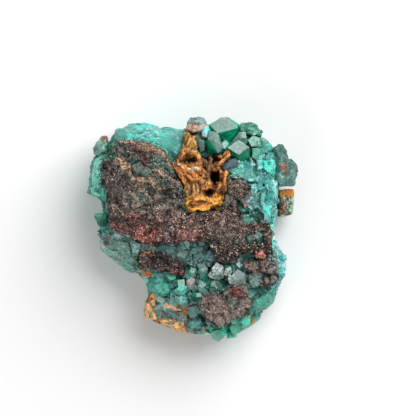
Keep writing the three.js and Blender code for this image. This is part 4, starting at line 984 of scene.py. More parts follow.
BROWN = (100, 87, 79)
DARK_BROWN = (50, 37, 36)
PINKISH = (118, 84, 80)
WINE = (118, 60, 60)
BRICK = (156, 92, 84)
PINK = (196, 124, 112)
TAN = (180, 144, 112)
PALE_TAN = (166, 138, 108)
GREY_TEAL = (74, 106, 98)
DARK_TEAL = (14, 46, 40)
CRUST_AREAS = [  # colour, outline, amount, ragged edge in mm
    ((106, 104, 94), [(-25, 20), (-20, 25), (-8, 22), (-3, 14), (-2, 8), (-8, 5), (-20, 5), (-25.6, 12)],
        0.6, 1.6),
    ((84, 154, 132), [(-25.8, 23), (-21.6, 26.4), (-20.8, 23.6), (-21.8, 20.6), (-25, 19.6)], 0.75, 1.6),
    # painted shadow: a dark band where the crust lies under the edge of the cap
    (DARK_BROWN, [(-21.8, 25.2), (-18, 24.6), (-9, 21.8), (-8.4, 20), (-12, 18.2), (-15, 21.4), (-19.4, 22)],
        0.6, 0.9),
    (PINKISH, [(-18, 24), (-15.2, 23.8), (-14.4, 22.6), (-17.4, 22.4)], 0.75, 0.5),
    (PINKISH, [(-14, 24.4), (-11.4, 23.4), (-10.6, 21.6), (-12.6, 21.8)], 0.85, 0.5),
    (WINE, [(-15.6, 21), (-12.4, 21.2), (-11.6, 18.6), (-14.2, 18)], 0.55, 0.9),
    (GREY_TEAL, [(-18.4, 19.4), (-15.6, 19.6), (-13.4, 17.6), (-11.4, 15.8), (-13.6, 14.4), (-16.6, 15.2)],
        0.85, 0.9),
    (GREY_TEAL, [(-12.4, 20.2), (-8, 21.2), (-5.6, 18.4), (-5, 15.6), (-8.4, 15.6), (-11.4, 16.6)], 0.8, 1.0),
    (GREY_TEAL, [(-10, 14.2), (-4.4, 15.2), (-2.4, 12), (-5.4, 11.2), (-9.8, 12)], 0.6, 1.0),
    (GREY_TEAL, [(-17, 10.8), (-12.4, 11.4), (-11.6, 8.4), (-15.4, 7.6)], 0.55, 1.2),
    (TAN, [(-20, 19.4), (-17.8, 18.6), (-15.8, 16.4), (-14.8, 13.6), (-13.4, 10.8), (-14.2, 10.4),
        (-15.8, 13.4), (-17, 15.6), (-20, 18)], 0.8, 0.45),
    (TAN, [(-15.2, 14.8), (-11.4, 15.2), (-10.6, 14), (-12.2, 13.2), (-15, 13.8)], 0.85, 0.45),
    (TAN, [(-12.4, 23.4), (-8.2, 22), (-6, 20), (-4.6, 17.4), (-5.6, 17.2), (-7.4, 20), (-10.4, 21.8)], 0.75,
        0.5),
    (TAN, [(-11.2, 17), (-8.6, 17.2), (-8, 15.4), (-8.8, 15.2), (-9.6, 16.4)], 0.7, 0.4),
    # painted shadow: the dark gap that separates two parts of the crust
    (DARK_TEAL, [(-12.6, 11.2), (-8, 11.4), (-3, 12), (-2.2, 9), (-4.6, 8.6), (-8, 9.6), (-12.4, 9)], 0.85,
        1.0),
    # painted shade: a deep cavity in the crust
    (DARK_TEAL, [(-20, 21), (-17.6, 20.4), (-13.4, 17), (-12.2, 18), (-15.4, 20.4), (-19, 21.8)], 0.6, 0.8),
    (DARK_TEAL, [(-24.4, 8.6), (-22.6, 8.4), (-22, 5), (-23.6, 4.4)], 0.75, 0.8),
    ((82, 70, 68), [(-24.6, 17.6), (-20.4, 17), (-18, 12), (-17, 6.4), (-21, 5.4), (-24.8, 8)], 0.65, 1.4),
    ((216, 184, 146), [(-19.6, 18.6), (-17, 17.8), (-15.4, 15.8), (-15.4, 14.4), (-17.2, 15.8),
        (-19.6, 17.2)], 0.8, 0.6),
    ((196, 168, 130), [(-6.6, 20.8), (-4.4, 20.2), (-2.8, 18.2), (-3.6, 17.4), (-5.6, 18.6)], 0.75, 0.6),
    ((170, 144, 124), [(-6.4, 15), (-3.4, 15.4), (-2.6, 12.4), (-5.4, 12)], 0.75, 0.8),
    ((104, 126, 116), [(-12.4, 20.6), (-8.6, 21), (-8, 18.4), (-11.8, 18)], 0.6, 0.8),
    ((176, 140, 126), [(-15.8, 24), (-11.2, 23.6), (-10.8, 21.6), (-14, 21.6)], 0.5, 0.7),
    (WINE, [(-22.4, 2.8), (-18, 2.6), (-15, 3), (-9, 2), (-4, 1.6), (2, 1), (4, -1.6), (1, -3.8), (-5, -3.9),
        (-12, -4.6), (-17, -2.8), (-21, -0.4)], 0.45, 1.6),
    (BRICK, [(-18.4, 4.8), (-16, 4.6), (-14.8, 3.6), (-15.6, 2), (-18.2, 1.9)], 0.7, 1.2),
    (BRICK, [(-16.8, 0.2), (-13.6, 1), (-11.6, -0.4), (-8.4, 0.4), (-7.8, -2), (-9.6, -4.6), (-12.6, -4.6),
        (-16.2, -2.4)], 0.75, 1.4),
    (BRICK, [(-22.6, 2), (-19.6, 2.4), (-18, 1.2), (-21.6, 0.2)], 0.5, 1.2),
    (BRICK, [(-4.6, -0.6), (-1.4, 0.4), (1.6, 0.2), (3.6, -1.4), (0.8, -3.9), (-3.8, -3.9), (-6, -2.6)],
        0.35, 1.4),
    (PINKISH, [(-2, -0.6), (3.4, 1.6), (4.8, -0.2), (0.2, -3.4)], 0.4, 0.8),
    ((96, 142, 128), [(-26, 0.4), (-22, -0.6), (-17.6, -1.8), (-16.6, -4), (-22, -4.4), (-27, -2)], 0.8, 0.8),
    (PINKISH, [(-9.4, 5), (6, 5.2), (13, 5.4), (20, 1.8), (10, 0.4), (2, 1.2), (-8, 1)], 0.5, 1.2),
    (PINKISH, [(9.2, 6.8), (13.2, 6.4), (13.6, 3.2), (9.6, 3.6)], 0.6, 0.9),
    ((146, 122, 114), [(13, -8), (23.8, -7), (23.8, -12), (13.4, -11.8)], 0.8, 0.6),
    ((132, 142, 134), [(20.8, -9.6), (25, -9), (25, -15.4), (20.4, -15)], 0.65, 0.9),
    (GREY_TEAL, [(13, -8.6), (23.6, -9.2), (23.8, -8), (13.4, -7.6)], 0.5, 0.6),
    ((146, 134, 126), [(1.4, -18.4), (9, -14), (15.8, -16), (17.4, -21), (14.6, -26), (8.4, -29),
        (1.6, -24)], 0.85, 1.2),
    (PINKISH, [(3.6, -18.6), (9, -19), (9.4, -22), (4, -22.6)], 0.4, 1.0),
    (GREY_TEAL, [(9.6, -18.8), (13, -19.4), (12.4, -21.4), (9.8, -20.8)], 0.5, 0.8),
    (DARK_BROWN, [(4.8, -2.6), (10, -3.2), (22.4, -2.8), (22.6, -6.6), (13, -9), (6, -8.4)], 0.8, 0.9),
    (DARK_BROWN, [(-14.8, -5.6), (-8, -6.4), (-3, -9.6), (-2.4, -11), (-12, -10.6), (-15.6, -8.6)], 0.8, 0.6),
    ((30, 22, 22), [(-8, -7.6), (-3, -9.6), (-2.2, -11.4), (-8, -11)], 0.7, 0.6),
    (PINK, [(17.8, -6.2), (19.4, -5.8), (20.9, -6.8), (19.6, -8.4), (18, -8.2)], 1.0, 0.3),
    (WINE, [(-9.8, -11), (-1.6, -11.6), (-1.6, -13.6), (-6, -12.6), (-9.8, -11.9)], 0.85, 0.3),
    (WINE, [(10.4, -16), (14.2, -15.8), (14.2, -19.2), (11, -19.2)], 0.85, 0.6),
    ((140, 118, 98), [(5, -22), (9, -21), (10, -25.6), (6.4, -26)], 0.5, 1.0),
    (TAN, [(-14, -5.2), (-11, -5.8), (-11.4, -7.4), (-13.6, -7.2)], 0.85, 0.5),
    ((174, 142, 126), [(5.4, 5.8), (9.6, 6), (9.8, 3), (5.6, 3)], 0.85, 0.6),
    ((134, 100, 94), [(-13, 3), (-8, 3), (-8, 0.6), (-12.6, 0.4)], 0.6, 1.0),
    ((104, 94, 76), [(10, 15.6), (12.6, 14.8), (17, 12.4), (15, 8.8), (13, 8.4), (10, 10.6)], 0.7, 0.5),
]
STREAKS = [  # thin veins of tan: their lines, and half their width in mm
    ([(-20.6, 19.8), (-18.6, 18), (-16.6, 17), (-15.4, 14.8), (-14.8, 12.6)], 0.55),
    ([(-15.2, 14.6), (-13, 14.6), (-11.2, 13.6), (-10.8, 12.8)], 0.45),
    ([(-14.6, 12.2), (-13.4, 10.4), (-12.2, 9.4), (-11.4, 8)], 0.25),
    ([(-11.6, 16.6), (-9.4, 16.6), (-8.4, 15.2), (-8, 14)], 0.22),
    ([(-13.4, 23.4), (-10.4, 22.8), (-8, 21.4), (-6.4, 19.4), (-5, 17.2)], 0.4),
    ([(-21.2, 25), (-17.6, 24.6), (-14.4, 24.4), (-13.2, 23.4)], 0.25),
    ([(-17.8, 12), (-16.8, 10.2), (-15.4, 9), (-15, 7.2)], 0.2),
    ([(-9.8, 11.8), (-7.6, 11.6), (-6, 12.4)], 0.18),
    ([(-13.8, 24.4), (-12.2, 23.6), (-12, 22.2), (-13.4, 21.8)], 0.35),
]
print("crust areas:", len(CRUST_AREAS), "tan veins:", len(STREAKS))

# %% Shape and paint druse

CRUST_TOP = 28.0  # no crust is higher, so that its grains stay in the frame


def druse(p, normal, seed=0):
    """Druse on a skin, and where it is thin. Hummocks of noise carry peaks at scattered points, peak height
    times one minus the distance to the nearest point over its cell. Thin crevices run where a warped noise
    crosses zero. Towards the crust's edge the surface sinks irregularly into the green rock, and its walls
    are broken by cleavage."""
    near, _, _, owner = cells(p, 0.5, 100 + seed)
    chance = lattice(owner, 104 + seed)
    peaks = (0.4 + chance) * np.clip(1 - near / 0.4, 0, 1)
    warped = p + 0.9 * swirl(p, 1.6, 111 + seed)
    knobs = rough(warped, 2.4, 3, 105 + seed)
    pits = ramp(0.16 - np.abs(knobs), 0, 0.12) * ramp(rough(p, 4.5, 2, 114 + seed), -0.35, 0.15)
    pits = np.maximum(pits, ramp(-knobs, 0.3, 0.6))
    cleaved = facets(p, 2.2, 0.5, 109 + seed)[0]
    height = 0.5 * knobs + 0.6 * cleaved + 0.1 * peaks - 0.6 * pits
    wall = 0.6 * (rough(p, 2.2, 3, 107 + seed) + 0.4 * facets(p, 1.5, 1.0, 108 + seed)[0])
    upright = ramp(np.abs(normal[:, 2]), 0.35, 0.85)
    out = upright * height + (1 - upright) * (wall - 0.2)
    moved = p + normal * out[:, None]
    thin = ramp(0.76 - read(crust_cover, p) + 0.5 * rough(p, 1.9, 3, 110 + seed), 0, 0.4)
    moved[:, 2] = np.minimum(moved[:, 2] - 1.7 * thin * upright, CRUST_TOP)
    return moved, height, chance, pits, thin


def paint_crust(p):
    """The crust's colours before light and dark: the areas, and blotches of other browns across them."""
    paint = Paint(p, BROWN)
    warped = p + 0.8 * swirl(p, 1.4, 234)
    paint.blotch((120, 106, 96), 0.7, 2.2, 3, 230, 0.1, 0.35, warped)
    paint.blotch((48, 38, 36), 0.8, 2.6, 3, 231, 0.12, 0.4, warped)
    paint.blotch(GREY_TEAL, 0.6, 3.2, 3, 237, 0.22, 0.45, warped)
    for n, (colour, outline, amount, ragged) in enumerate(CRUST_AREAS):
        paint.area(colour, outline, amount, ragged, 0.35, 200 + n)
    for n, (line, width) in enumerate(STREAKS):
        paint.line(PALE_TAN, line, width, 1.0, 250 + n)
    paint.blotch((32, 25, 25), 0.75, 1.2, 2, 238, 0.12, 0.36, warped)
    paint.blotch((168, 144, 130), 0.5, 0.9, 2, 239, 0.18, 0.42, warped)
    return paint


def paint_druse(p, height, chance, pits, thin, normal, evenness=1.0):
    """The crust's browns: each tiny crystal has its own shade, and is painted lighter the higher it stands,
    as painted light. Pits and steep faces are painted dark as shade, and thin edges show green. The shades
    are raised to the power `evenness`, which draws them together."""
    paint = paint_crust(p)
    # painted shade in the pits
    paint.over((16, 13, 13), 0.85 * evenness * pits)
    paint.blotch((44, 104, 86), 0.7 * thin, 1.2, 2, 233, -0.1, 0.3)
    # painted shade: faces that turn away from above are darker
    paint.over((26, 34, 30), 0.5 * (1 - ramp(normal[:, 2], 0.1, 0.6)))
    # each crystal's own random shade, and painted light: lighter the higher it stands
    return paint.shade(np.clip(0.58 + 0.8 * chance + 0.5 * height, 0.2, 1.8) ** evenness).rgb


print("brown as light:", linear(BROWN).round(3))

# %% A material for druse


def glitter(name):
    """Druse: painted stone whose finest bump is a field of flat-sided crystals, so that it glints."""
    s = Shader(name)
    facet = s.crystals(0.34, "Color")
    fine = s.noise(0.28, 3.0, 0.6)
    shade = s.ramp(fine, 0.3, 0.72, 0.36, 2.0)
    colour = s.shaded(s.tint(), shade)
    lively = s.node("ShaderNodeSeparateColor", {}, {0: facet})
    rough_part = s.ramp(lively, 0.1, 0.8, 0.2, 0.6)
    height = lively * 0.6 + s.crystals(0.34) * -0.8 + fine * 0.5
    return s.surface(colour, rough_part, s.bump(height, 0.12), **{"Specular IOR Level": 0.5})


brown_druse = glitter("brown_druse")
print("nodes in the druse:", len(brown_druse.node_tree.nodes))

# %% Build the crusts

CRUST_CELL = 0.2
EVENNESS = {"druse_crust_main": 0.85, "druse_crust_bottom": 0.3, "druse_crust_right_lower": 0.4,
            "druse_crust_right_edge": 0.4}
SUNK = {"druse_crust_main": ["crystals_on_left_crust", "crystals_on_right_crust"]}
crusts = {}
for seed, node in enumerate(CRUST_NODES):
    skin, squares, normal = skin_of([node], CRUST_CELL, swell=0.15, sunk=SUNK.get(node, ()))
    points, *marks = druse(skin, normal, 10 * seed)
    crusts[node] = (points, normal, marks[3])
    place(node.replace("druse_crust", "druse"), points, [squares], brown_druse, "brown_druse", [node],
          paint_druse(points, *marks, normal, EVENNESS.get(node, 1.0)))

# %% [markdown]
# ## Druse grains
#
# The crystals that make the crust glitter are real bodies: thousands of little blocks, each turned its own
# way, all joined in one mesh for each crust. A shape is turned by a random rotation matrix, made from a
# random unit quaternion, so one numpy product turns every copy of it at once.

# %% Many copies of one shape

CUBE = np.array([(x, y, z) for x in (-1, 1) for y in (-1, 1) for z in (-1, 1)], dtype=float)
CUBE_FACES = np.array([(0, 1, 3, 2), (4, 6, 7, 5), (0, 4, 5, 1), (2, 3, 7, 6), (0, 2, 6, 4), (1, 5, 7, 3)])


def turned(count, random, tilt=1.0):
    """Random rotation matrices from random unit quaternions. A small tilt keeps their own z nearly
    upright."""
    q = random.normal(size=(count, 4)) * (1, tilt, tilt, 1)
    w, x, y, z = (q / np.linalg.norm(q, axis=1, keepdims=True)).T
    return np.stack([
        np.stack([1 - 2 * (y * y + z * z), 2 * (x * y - z * w), 2 * (x * z + y * w)], axis=1),
        np.stack([2 * (x * y + z * w), 1 - 2 * (x * x + z * z), 2 * (y * z - x * w)], axis=1),
        np.stack([2 * (x * z - y * w), 2 * (y * z + x * w), 1 - 2 * (x * x + y * y)], axis=1),
    ], axis=1)


def copies(form, faces, at, turn, size):
    """One mesh's points and faces: the form turned, stretched by `size` and moved to each place."""
    points = at[:, None] + np.einsum("nij,nvj->nvi", turn, form[None] * size[:, None])
    shift = np.arange(len(at)) * len(form)
    return points.reshape(-1, 3), (faces[None] + shift[:, None, None]).reshape(-1, faces.shape[1])


def spread(p, normal, share, count, random):
    """Random rows of p that face up, picked in proportion to `share`."""
    weight = np.clip(share, 0, None) * ramp(normal[:, 2], 0.1, 0.6)
    return random.choice(len(p), count, replace=False, p=weight / weight.sum())


print("faces of a block:", len(CUBE_FACES))

# %% Scatter the grains

GRAINS = {"druse_crust_main": 14500, "druse_crust_bottom": 2200, "druse_crust_lower_left": 1500,
          "druse_crust_right_lower": 700, "druse_crust_upper_right": 500, "druse_crust_right_edge": 200}
GRAIN_SHADES = [0.2, 0.55, 1.0, 1.5, 2.3]
GRAIN_ODDS = [0.22, 0.22, 0.22, 0.18, 0.16]
# painted highlights: where grains painted pale as glints are common
SPARKLE = [  # where pale grains are common: middle, half widths, share
    ((0, 2.4), (8, 3.4), 0.12), ((13, -0.4), (8, 2), 0.06), ((-6, 5), (5, 2.6), 0.06),
    ((-9, -8.4), (6, 2), 0.03), ((13, -5), (9, 2.6), 0.08), ((7, -22.5), (4, 4), 0.05),
    ((18.4, -9.8), (4.4, 1.6), 0.07), ((-20.6, 16.6), (2.4, 1.6), 0.06), ((0, -1.6), (5, 2), 0.04),
]
FRINGE = "druse_crust_fringe"  # grains that lie on the rock round the crusts
GRAINS[FRINGE] = 2000
random = np.random.default_rng(12)
crusts[FRINGE] = (rock_top, normals_of(rock_top, [top_faces]), np.zeros(len(rock_top)))
for node, count in GRAINS.items():
    points, normal, thin = crusts[node]
    clumps = ramp(rough(points, 2.2, 3, 240), -0.5, 0.4)
    if node == FRINGE:
        cover = read(crust_cover, points)
        clumps = clumps * ramp(cover, 0.02, 0.3) * (cover < 0.7) - 0.25
    rows = spread(points, normal, (0.25 + clumps) * (1.02 - thin), count, random)
    at = points[rows]
    glint = np.full(count, 0.012)
    for middle, radii, share in SPARKLE:
        glint = np.maximum(glint, share * ramp(1.2 - oval(at, middle, radii), 0, 0.5))
    size = random.uniform(0.06, 0.17, (count, 1)) * random.uniform(0.6, 1.3, (count, 3))
    body, faces = copies(CUBE, CUBE_FACES, at, turned(count, random), size)
    grade = random.choice(GRAIN_SHADES, (count, 1), p=GRAIN_ODDS) ** EVENNESS.get(node, 1)
    shades = paint_crust(at).rgb * grade
    # painted highlights: some grains are painted pale as glints
    shades = np.where((random.random(count) < glint)[:, None], linear((216, 188, 168)), shades)
    place(node.replace("druse_crust", "grains"), body, [faces], brown_druse, "brown_druse", (),
          np.repeat(shades, len(CUBE), axis=0), smooth=False)

# %% [markdown]
# ## The limonite in the vug
#
# Limonite is what is left where a sulphide has weathered away: an ochre sponge of thin walls round empty
# cells. The frame's solid gives its outline and its deep pits. Ridges and ribbons that stand free are tubes,
# a round section carried along a path, and they are joined in before the remesh, so that all of it is one
# sponge.

# %% Tubes along a path


def tube(path, radii, sides=10, steps=40):
    """A round section carried along a path. Between two of its points the path is the cubic that also heeds
    the point before and the one behind, and the radius is a straight line. Each ring of points lies across
    the path's direction, and both ends are closed to a point."""
    path, radii = np.array(path, dtype=float), np.array(radii, dtype=float)
    t = np.linspace(0, len(path) - 1, steps)
    part = np.minimum(t.astype(int), len(path) - 2)
    blend = (t - part)[:, None]
    before, behind = path[np.maximum(part - 1, 0)], path[np.minimum(part + 2, len(path) - 1)]
    a, b = path[part], path[part + 1]
    spine = a + 0.5 * blend * (b - before + blend * (2 * before - 5 * a + 4 * b - behind
                                                     + blend * (3 * (a - b) + behind - before)))
    radius = np.interp(t, np.arange(len(radii)), radii)
    along = np.gradient(spine, axis=0)
    along /= np.linalg.norm(along, axis=1, keepdims=True)
    across = np.cross(along, (0.31, 0.17, 0.93))
    across /= np.linalg.norm(across, axis=1, keepdims=True)
    third = np.cross(along, across)
    turn = np.arange(sides) * 2 * np.pi / sides
    rings = (across[:, None] * np.cos(turn)[None, :, None] + third[:, None] * np.sin(turn)[None, :, None])
    points = (spine[:, None] + rings * radius[:, None, None]).reshape(-1, 3)
    first = np.arange(steps * sides).reshape(steps, sides)
    near, far = first[:-1], first[1:]
    quads = np.stack([near, np.roll(near, -1, 1), np.roll(far, -1, 1), far], axis=2).reshape(-1, 4)
    start, end = len(points), len(points) + 1
    points = np.vstack([points, spine[0] - along[0] * radius[0] * 0.6,
                        spine[-1] + along[-1] * radius[-1] * 0.6])
    caps = np.vstack([
        np.stack([np.full(sides, start), np.roll(first[0], -1), first[0]], axis=1),
        np.stack([np.full(sides, end), first[-1], np.roll(first[-1], -1)], axis=1),
    ])
    return points, [quads, caps]


print("points of a tube:", len(tube([(0, 0, 0), (0, 4, 0)], (1, 1))[0]))

# %% The limonite's ribbons, wells and fibres

RIBBONS = [  # path, and the radius at each of its points
    ([(-1.2, 8, 25.1), (-1.4, 6.9, 25.2), (-0.6, 5.7, 25.4), (0.4, 5.5, 25.3)], (0.25, 0.4, 0.5, 0.35)),
    ([(0.4, 5.6, 25.1), (2, 5.9, 25.2), (3.4, 5.7, 25.3), (4.8, 6.2, 25.2)], (0.3, 0.25, 0.4, 0.3)),
    ([(-1.2, 7.8, 25.1), (-0.2, 8.7, 25.4), (1.2, 8.5, 25.4), (2.6, 8.7, 25.4), (4, 8.2, 25.2)],
     (0.3, 0.45, 0.35, 0.4, 0.25)),
    ([(4.6, 6.6, 25), (6.2, 7, 25.2), (7.4, 8.2, 25.2), (7.9, 9.3, 25.2)], (0.4, 0.65, 0.5, 0.3)),
    ([(5.6, 7.6, 24.8), (6.6, 8.6, 25), (7, 9.4, 25)], (0.4, 0.5, 0.3)),
    ([(0.2, 7.4, 24.2), (2, 7, 24.4), (4, 7.2, 24.2)], (0.8, 1, 0.8)),
    ([(5.8, 9.2, 25), (6.9, 10, 25.4), (7.5, 11.6, 25.4), (7.1, 13.2, 25)], (0.35, 0.45, 0.4, 0.3)),
    ([(-1.6, 27, 24.4), (-0.8, 25, 25.2), (-0.4, 23, 25.2), (0, 22, 25)], (0.7, 0.8, 0.8, 0.7)),
    ([(-2.9, 19.6, 24.6), (-2.4, 21.6, 25.8), (-0.8, 22.4, 26.2), (0.9, 21.8, 26), (2.1, 20, 25.2),
      (2.6, 18.2, 24.6)], (0.6, 0.7, 0.75, 0.6, 0.5, 0.4)),
    ([(-5, 18.6, 25.2), (-4, 16.6, 25.8), (-2.6, 14.8, 25.8), (-1.8, 13, 25.2)], (0.45, 0.6, 0.7, 0.5)),
    ([(-4.2, 18.4, 25.4), (-2.4, 16.2, 26.2), (-0.4, 14.4, 26), (1.6, 14, 25.4)], (0.35, 0.6, 0.7, 0.5)),
    ([(-3, 18, 25.6), (-1, 15.8, 26.2), (1.4, 15, 25.8)], (0.3, 0.5, 0.4)),
    ([(-1.5, 13.4, 24.5), (-1.1, 11.4, 24.6), (-1.3, 9.6, 24.6)], (0.7, 0.95, 0.65)),
    ([(0.3, 14, 24.4), (1.1, 11.8, 24.6), (0.9, 9.4, 24.4)], (0.6, 1.1, 0.8)),
    ([(2, 14.4, 25), (3.4, 13.2, 25.5), (2.9, 11.4, 25.2)], (0.5, 0.75, 0.4)),
    ([(8.8, 20.6, 25.2), (9.9, 21.7, 26), (10.3, 20.9, 26.2), (9.3, 20, 26.2), (8.2, 18.9, 26),
      (7, 18.3, 25.6), (5.8, 17.4, 25)], (0.3, 0.4, 0.4, 0.35, 0.4, 0.5, 0.3)),
    ([(7, 17.6, 25.6), (6.2, 16.9, 25.8), (7.8, 17.2, 25.8)], (0.5, 0.55, 0.3)),
    ([(3.2, 19.6, 24.8), (4.4, 18, 25.2), (4.7, 16.2, 25), (4.4, 14.4, 25.2), (5, 12.8, 25.2)],
     (0.35, 0.4, 0.35, 0.45, 0.35)),
    ([(5.4, 19.8, 24.6), (5, 18.6, 25), (4.4, 17.6, 24.8)], (0.3, 0.35, 0.25)),
    ([(9.7, 17.2, 24.6), (9.5, 15.6, 25.2), (9.2, 14.2, 25.2), (9, 12.4, 25.4)], (0.2, 0.3, 0.25, 0.2)),
    ([(8.6, 11.2, 25.2), (9.1, 11.9, 25.8), (9.4, 11.3, 25.2)], (0.5, 0.65, 0.4)),
    ([(2.4, 17.6, 24.6), (3.4, 16.4, 25), (4.4, 15.8, 24.6)], (0.3, 0.35, 0.25)),
    ([(2.2, 16.4, 24.8), (3.2, 15, 25.2), (4.2, 14.6, 24.8)], (0.3, 0.35, 0.25)),
]
WELLS = [  # where the sponge has fallen in: middle, half widths, depth
    ((6.5, 14.7), (1.4, 2.2), 4.5), ((8.9, 18), (1.1, 1.5), 2.0), ((8.8, 13.4), (1, 1.3), 1.8),
    ((4.5, 10.3), (1.5, 1.2), 2.8), ((3.6, 20), (1.2, 1.7), 2.8), ((6.6, 19.4), (1.7, 1), 3.0),
    ((3.6, 16.9), (0.8, 0.9), 2.0), ((-0.7, 19.8), (2.4, 1.3), 0.6), ((-0.5, 11.6), (0.25, 1.1), 0.8),
    ((8.2, 10.2), (0.6, 0.9), 2.0),
]
FIBRES = [  # which way the fibres run in degrees, and where
    (-42, [(-5.6, 19), (2, 19), (2.4, 13.2), (-4, 13)]),
    (92, [(-2.4, 13.4), (2.6, 13.4), (2.6, 9), (-2, 9)]),
    (4, [(-2, 9.2), (9, 9.2), (9, 5), (-2, 5)]), (60, [(-3, 29), (1.6, 28), (1.6, 22), (-2, 22)]),
]
print("ribbons:", len(RIBBONS), "wells:", len(WELLS))

# %% Sponge and ochre


def drawn_out(p, bearing, size, seed):
    """Noise drawn out five times along a bearing: its coordinate that way is divided by five."""
    turn = math.radians(bearing)
    along = p[:, 0] * math.cos(turn) + p[:, 1] * math.sin(turn)
    across = p[:, 1] * math.cos(turn) - p[:, 0] * math.sin(turn)
    return rough(np.column_stack([along / 5, across, 0.4 * p[:, 2]]), size, 2, seed)


def fibres_of(p):
    """The limonite's fibres, between -1 and 1: each area's run their own way, and all are bent a little."""
    bent = p + 0.5 * swirl(p, 1.8, 317)
    fibre = drawn_out(bent, 72, 0.7, 320)
    for n, (bearing, outline) in enumerate(FIBRES):
        mask = area_mask(p, outline, 0.6, 0.5, 321 + n)
        fibre = fibre * (1 - mask) + drawn_out(bent, bearing, 0.7, 325 + n) * mask
    return fibre


def sponge(p, normal, depth, size, seed):
    """Spongy walls: ridged noise, 1 - 2|noise|, with finer ridges on it, scaled to `depth` mm."""
    bend = swirl(p, size, seed + 1)
    bent = p + 0.5 * size * bend
    ridge = 1 - 2 * np.abs(rough(bent, size, 3, seed + 4))
    fine = 1 - 2 * np.abs(rough(bent, size * 0.35, 2, seed + 5))
    height = 0.65 * ridge + 0.35 * fine - 0.35
    return p + normal * (depth * height)[:, None] + 0.3 * depth * bend, height


def paint_limonite(p, height, yellow=1.0):
    """Ochre: yellow on the ridges, orange-brown below, nearly black in the pits, partly the ochre's own
    colour and partly painted highlight on the ridges and painted shade in the pits. The fibres' light and
    dark stripes are partly painted light and shade of their ridges, and all below 24 mm is painted nearly
    black as shade deep in the pocket. `yellow` is how strong the fresh yellow at the bottom end is."""
    fibre = fibres_of(p)
    paint = Paint(p, (168, 102, 48))
    paint.blotch((150, 112, 70), 0.7, 2.2, 3, 314, 0.05, 0.35)
    # partly painted highlight: the ridges are lighter
    paint.over((208, 136, 54), ramp(height, 0.05, 0.4) * 0.8)
    paint.blotch((236, 186, 108), 0.7 * ramp(height, 0.3, 0.6), 1.3, 2, 315, -0.1, 0.3)
    # partly painted shade: the pits are darker
    paint.over((64, 38, 24), ramp(-height, -0.06, 0.28) * 0.92)
    paint.blotch((92, 58, 40), 0.6, 1.1, 3, 316, 0.2, 0.45)
    paint.area((160, 128, 52), [(-2.2, 28), (1.2, 26.4), (1.2, 22.4), (-1.6, 22.4)], 0.8, 0.3, seed=301)
    paint.area((138, 108, 66), [(-2.4, 14), (3, 14), (3, 9), (-2, 9)], 0.7, 0.5, seed=302)
    paint.area((196, 112, 36), [(-5, 18.6), (2.6, 18), (2.6, 13.4), (-4, 13.4)], 0.5, 0.5, seed=312)
    paint.spot((86, 56, 52), (-0.6, 19.6), (2.7, 1.6), 0.9, 0.9, 303)
    paint.spot((44, 28, 30), (-1.3, 19.4), (1.2, 0.5), 0.8, 0.9, 309)
    paint.area((236, 168, 50), [(-2, 9.4), (2.6, 9.5), (5, 9), (6.2, 8.6), (8.6, 9.6), (8.8, 5), (-2, 5)],
               0.85 * yellow, 0.3, seed=304)
    paint.spot((184, 112, 46), (2.2, 7.2), (2.7, 0.9), 0.8, 0.3, 305)
    paint.area((168, 96, 46), [(5.6, 22), (10.4, 22.4), (10.4, 17.4), (5.6, 16.4)], 0.6, 0.5, seed=306)
    paint.spot((66, 54, 40), (4, 19.8), (1.7, 2.4), 0.85, 0.5, 331)
    paint.spot((92, 62, 42), (4.3, 16.2), (1.3, 1.9), 0.7, 0.6, 332)
    paint.area((136, 156, 132), [(0.9, 28), (3.8, 28), (3.8, 23.6), (1.1, 23.6)], 0.85, 0.25, seed=313)
    paint.area((84, 84, 64), [(0.6, 23.6), (3.6, 23.6), (3.2, 20.8), (0.6, 21.2)], 0.75, 0.3, seed=333)
    paint.spot((200, 240, 216), (0.5, 17.2), (1.9, 0.5), 0.9, 0.35, 307)
    paint.spot((236, 240, 232), (-3.6, 18.3), (0.5, 0.35), 0.9, 0.3, 308)
    # partly painted shade and light: dark between the fibres, light on their crests
    paint.over((74, 42, 24), 0.85 * ramp(-fibre, 0.1, 0.3))
    paint.over((240, 172, 84), 0.7 * ramp(fibre, 0.14, 0.36))
    # painted shade: nearly black deep in the pocket
    paint.over((20, 12, 9), ramp(24 - p[:, 2], 0, 2.4) * 0.95)
    grain = rough(p, 0.5, 2, 311)
    # painted light: lighter the higher the sponge stands
    return paint.shade(np.clip(0.84 + 0.5 * grain + 0.35 * height, 0.3, 1.5)).rgb


limonite = stone("limonite", (0.42, 0.17, 0.03, 1), 0.3, 0.1, 0.3, (0.5, 0.8))
print("nodes in the limonite:", len(limonite.node_tree.nodes))

# %% Build the limonite

SPONGE_CELL = 0.17
RIBBON_CELL = 0.13
LUMP_CELL = 0.16  # for the seams, the pink lump and the chips
skin, squares, normal = skin_of(["limonite_fill"], SPONGE_CELL)
points, height = sponge(skin, normal, 0.85, 1.2, 320)
points += normal * (0.5 * fibres_of(skin))[:, None]
sinking = np.zeros(len(points))
for at, radii, depth in WELLS:
    within = 1.25 - oval(points, at, radii) + 0.3 * noise(points, 0.8, 330)
    sinking = np.maximum(sinking, depth * ramp(within, 0, 0.6))
points[:, 2] -= sinking * ramp(points[:, 2], 16, 22)
place("limonite_sponge", points, [squares], limonite, "limonite", ["limonite_fill"],
      paint_limonite(points, height, 0.45))

skin, squares, normal = skin_of([], RIBBON_CELL, [tube(path, radii) for path, radii in RIBBONS])
points, height = sponge(skin, normal, 0.45, 0.8, 325)
place("limonite_ribbons", points, [squares], limonite, "limonite", (), paint_limonite(points, height + 0.08))

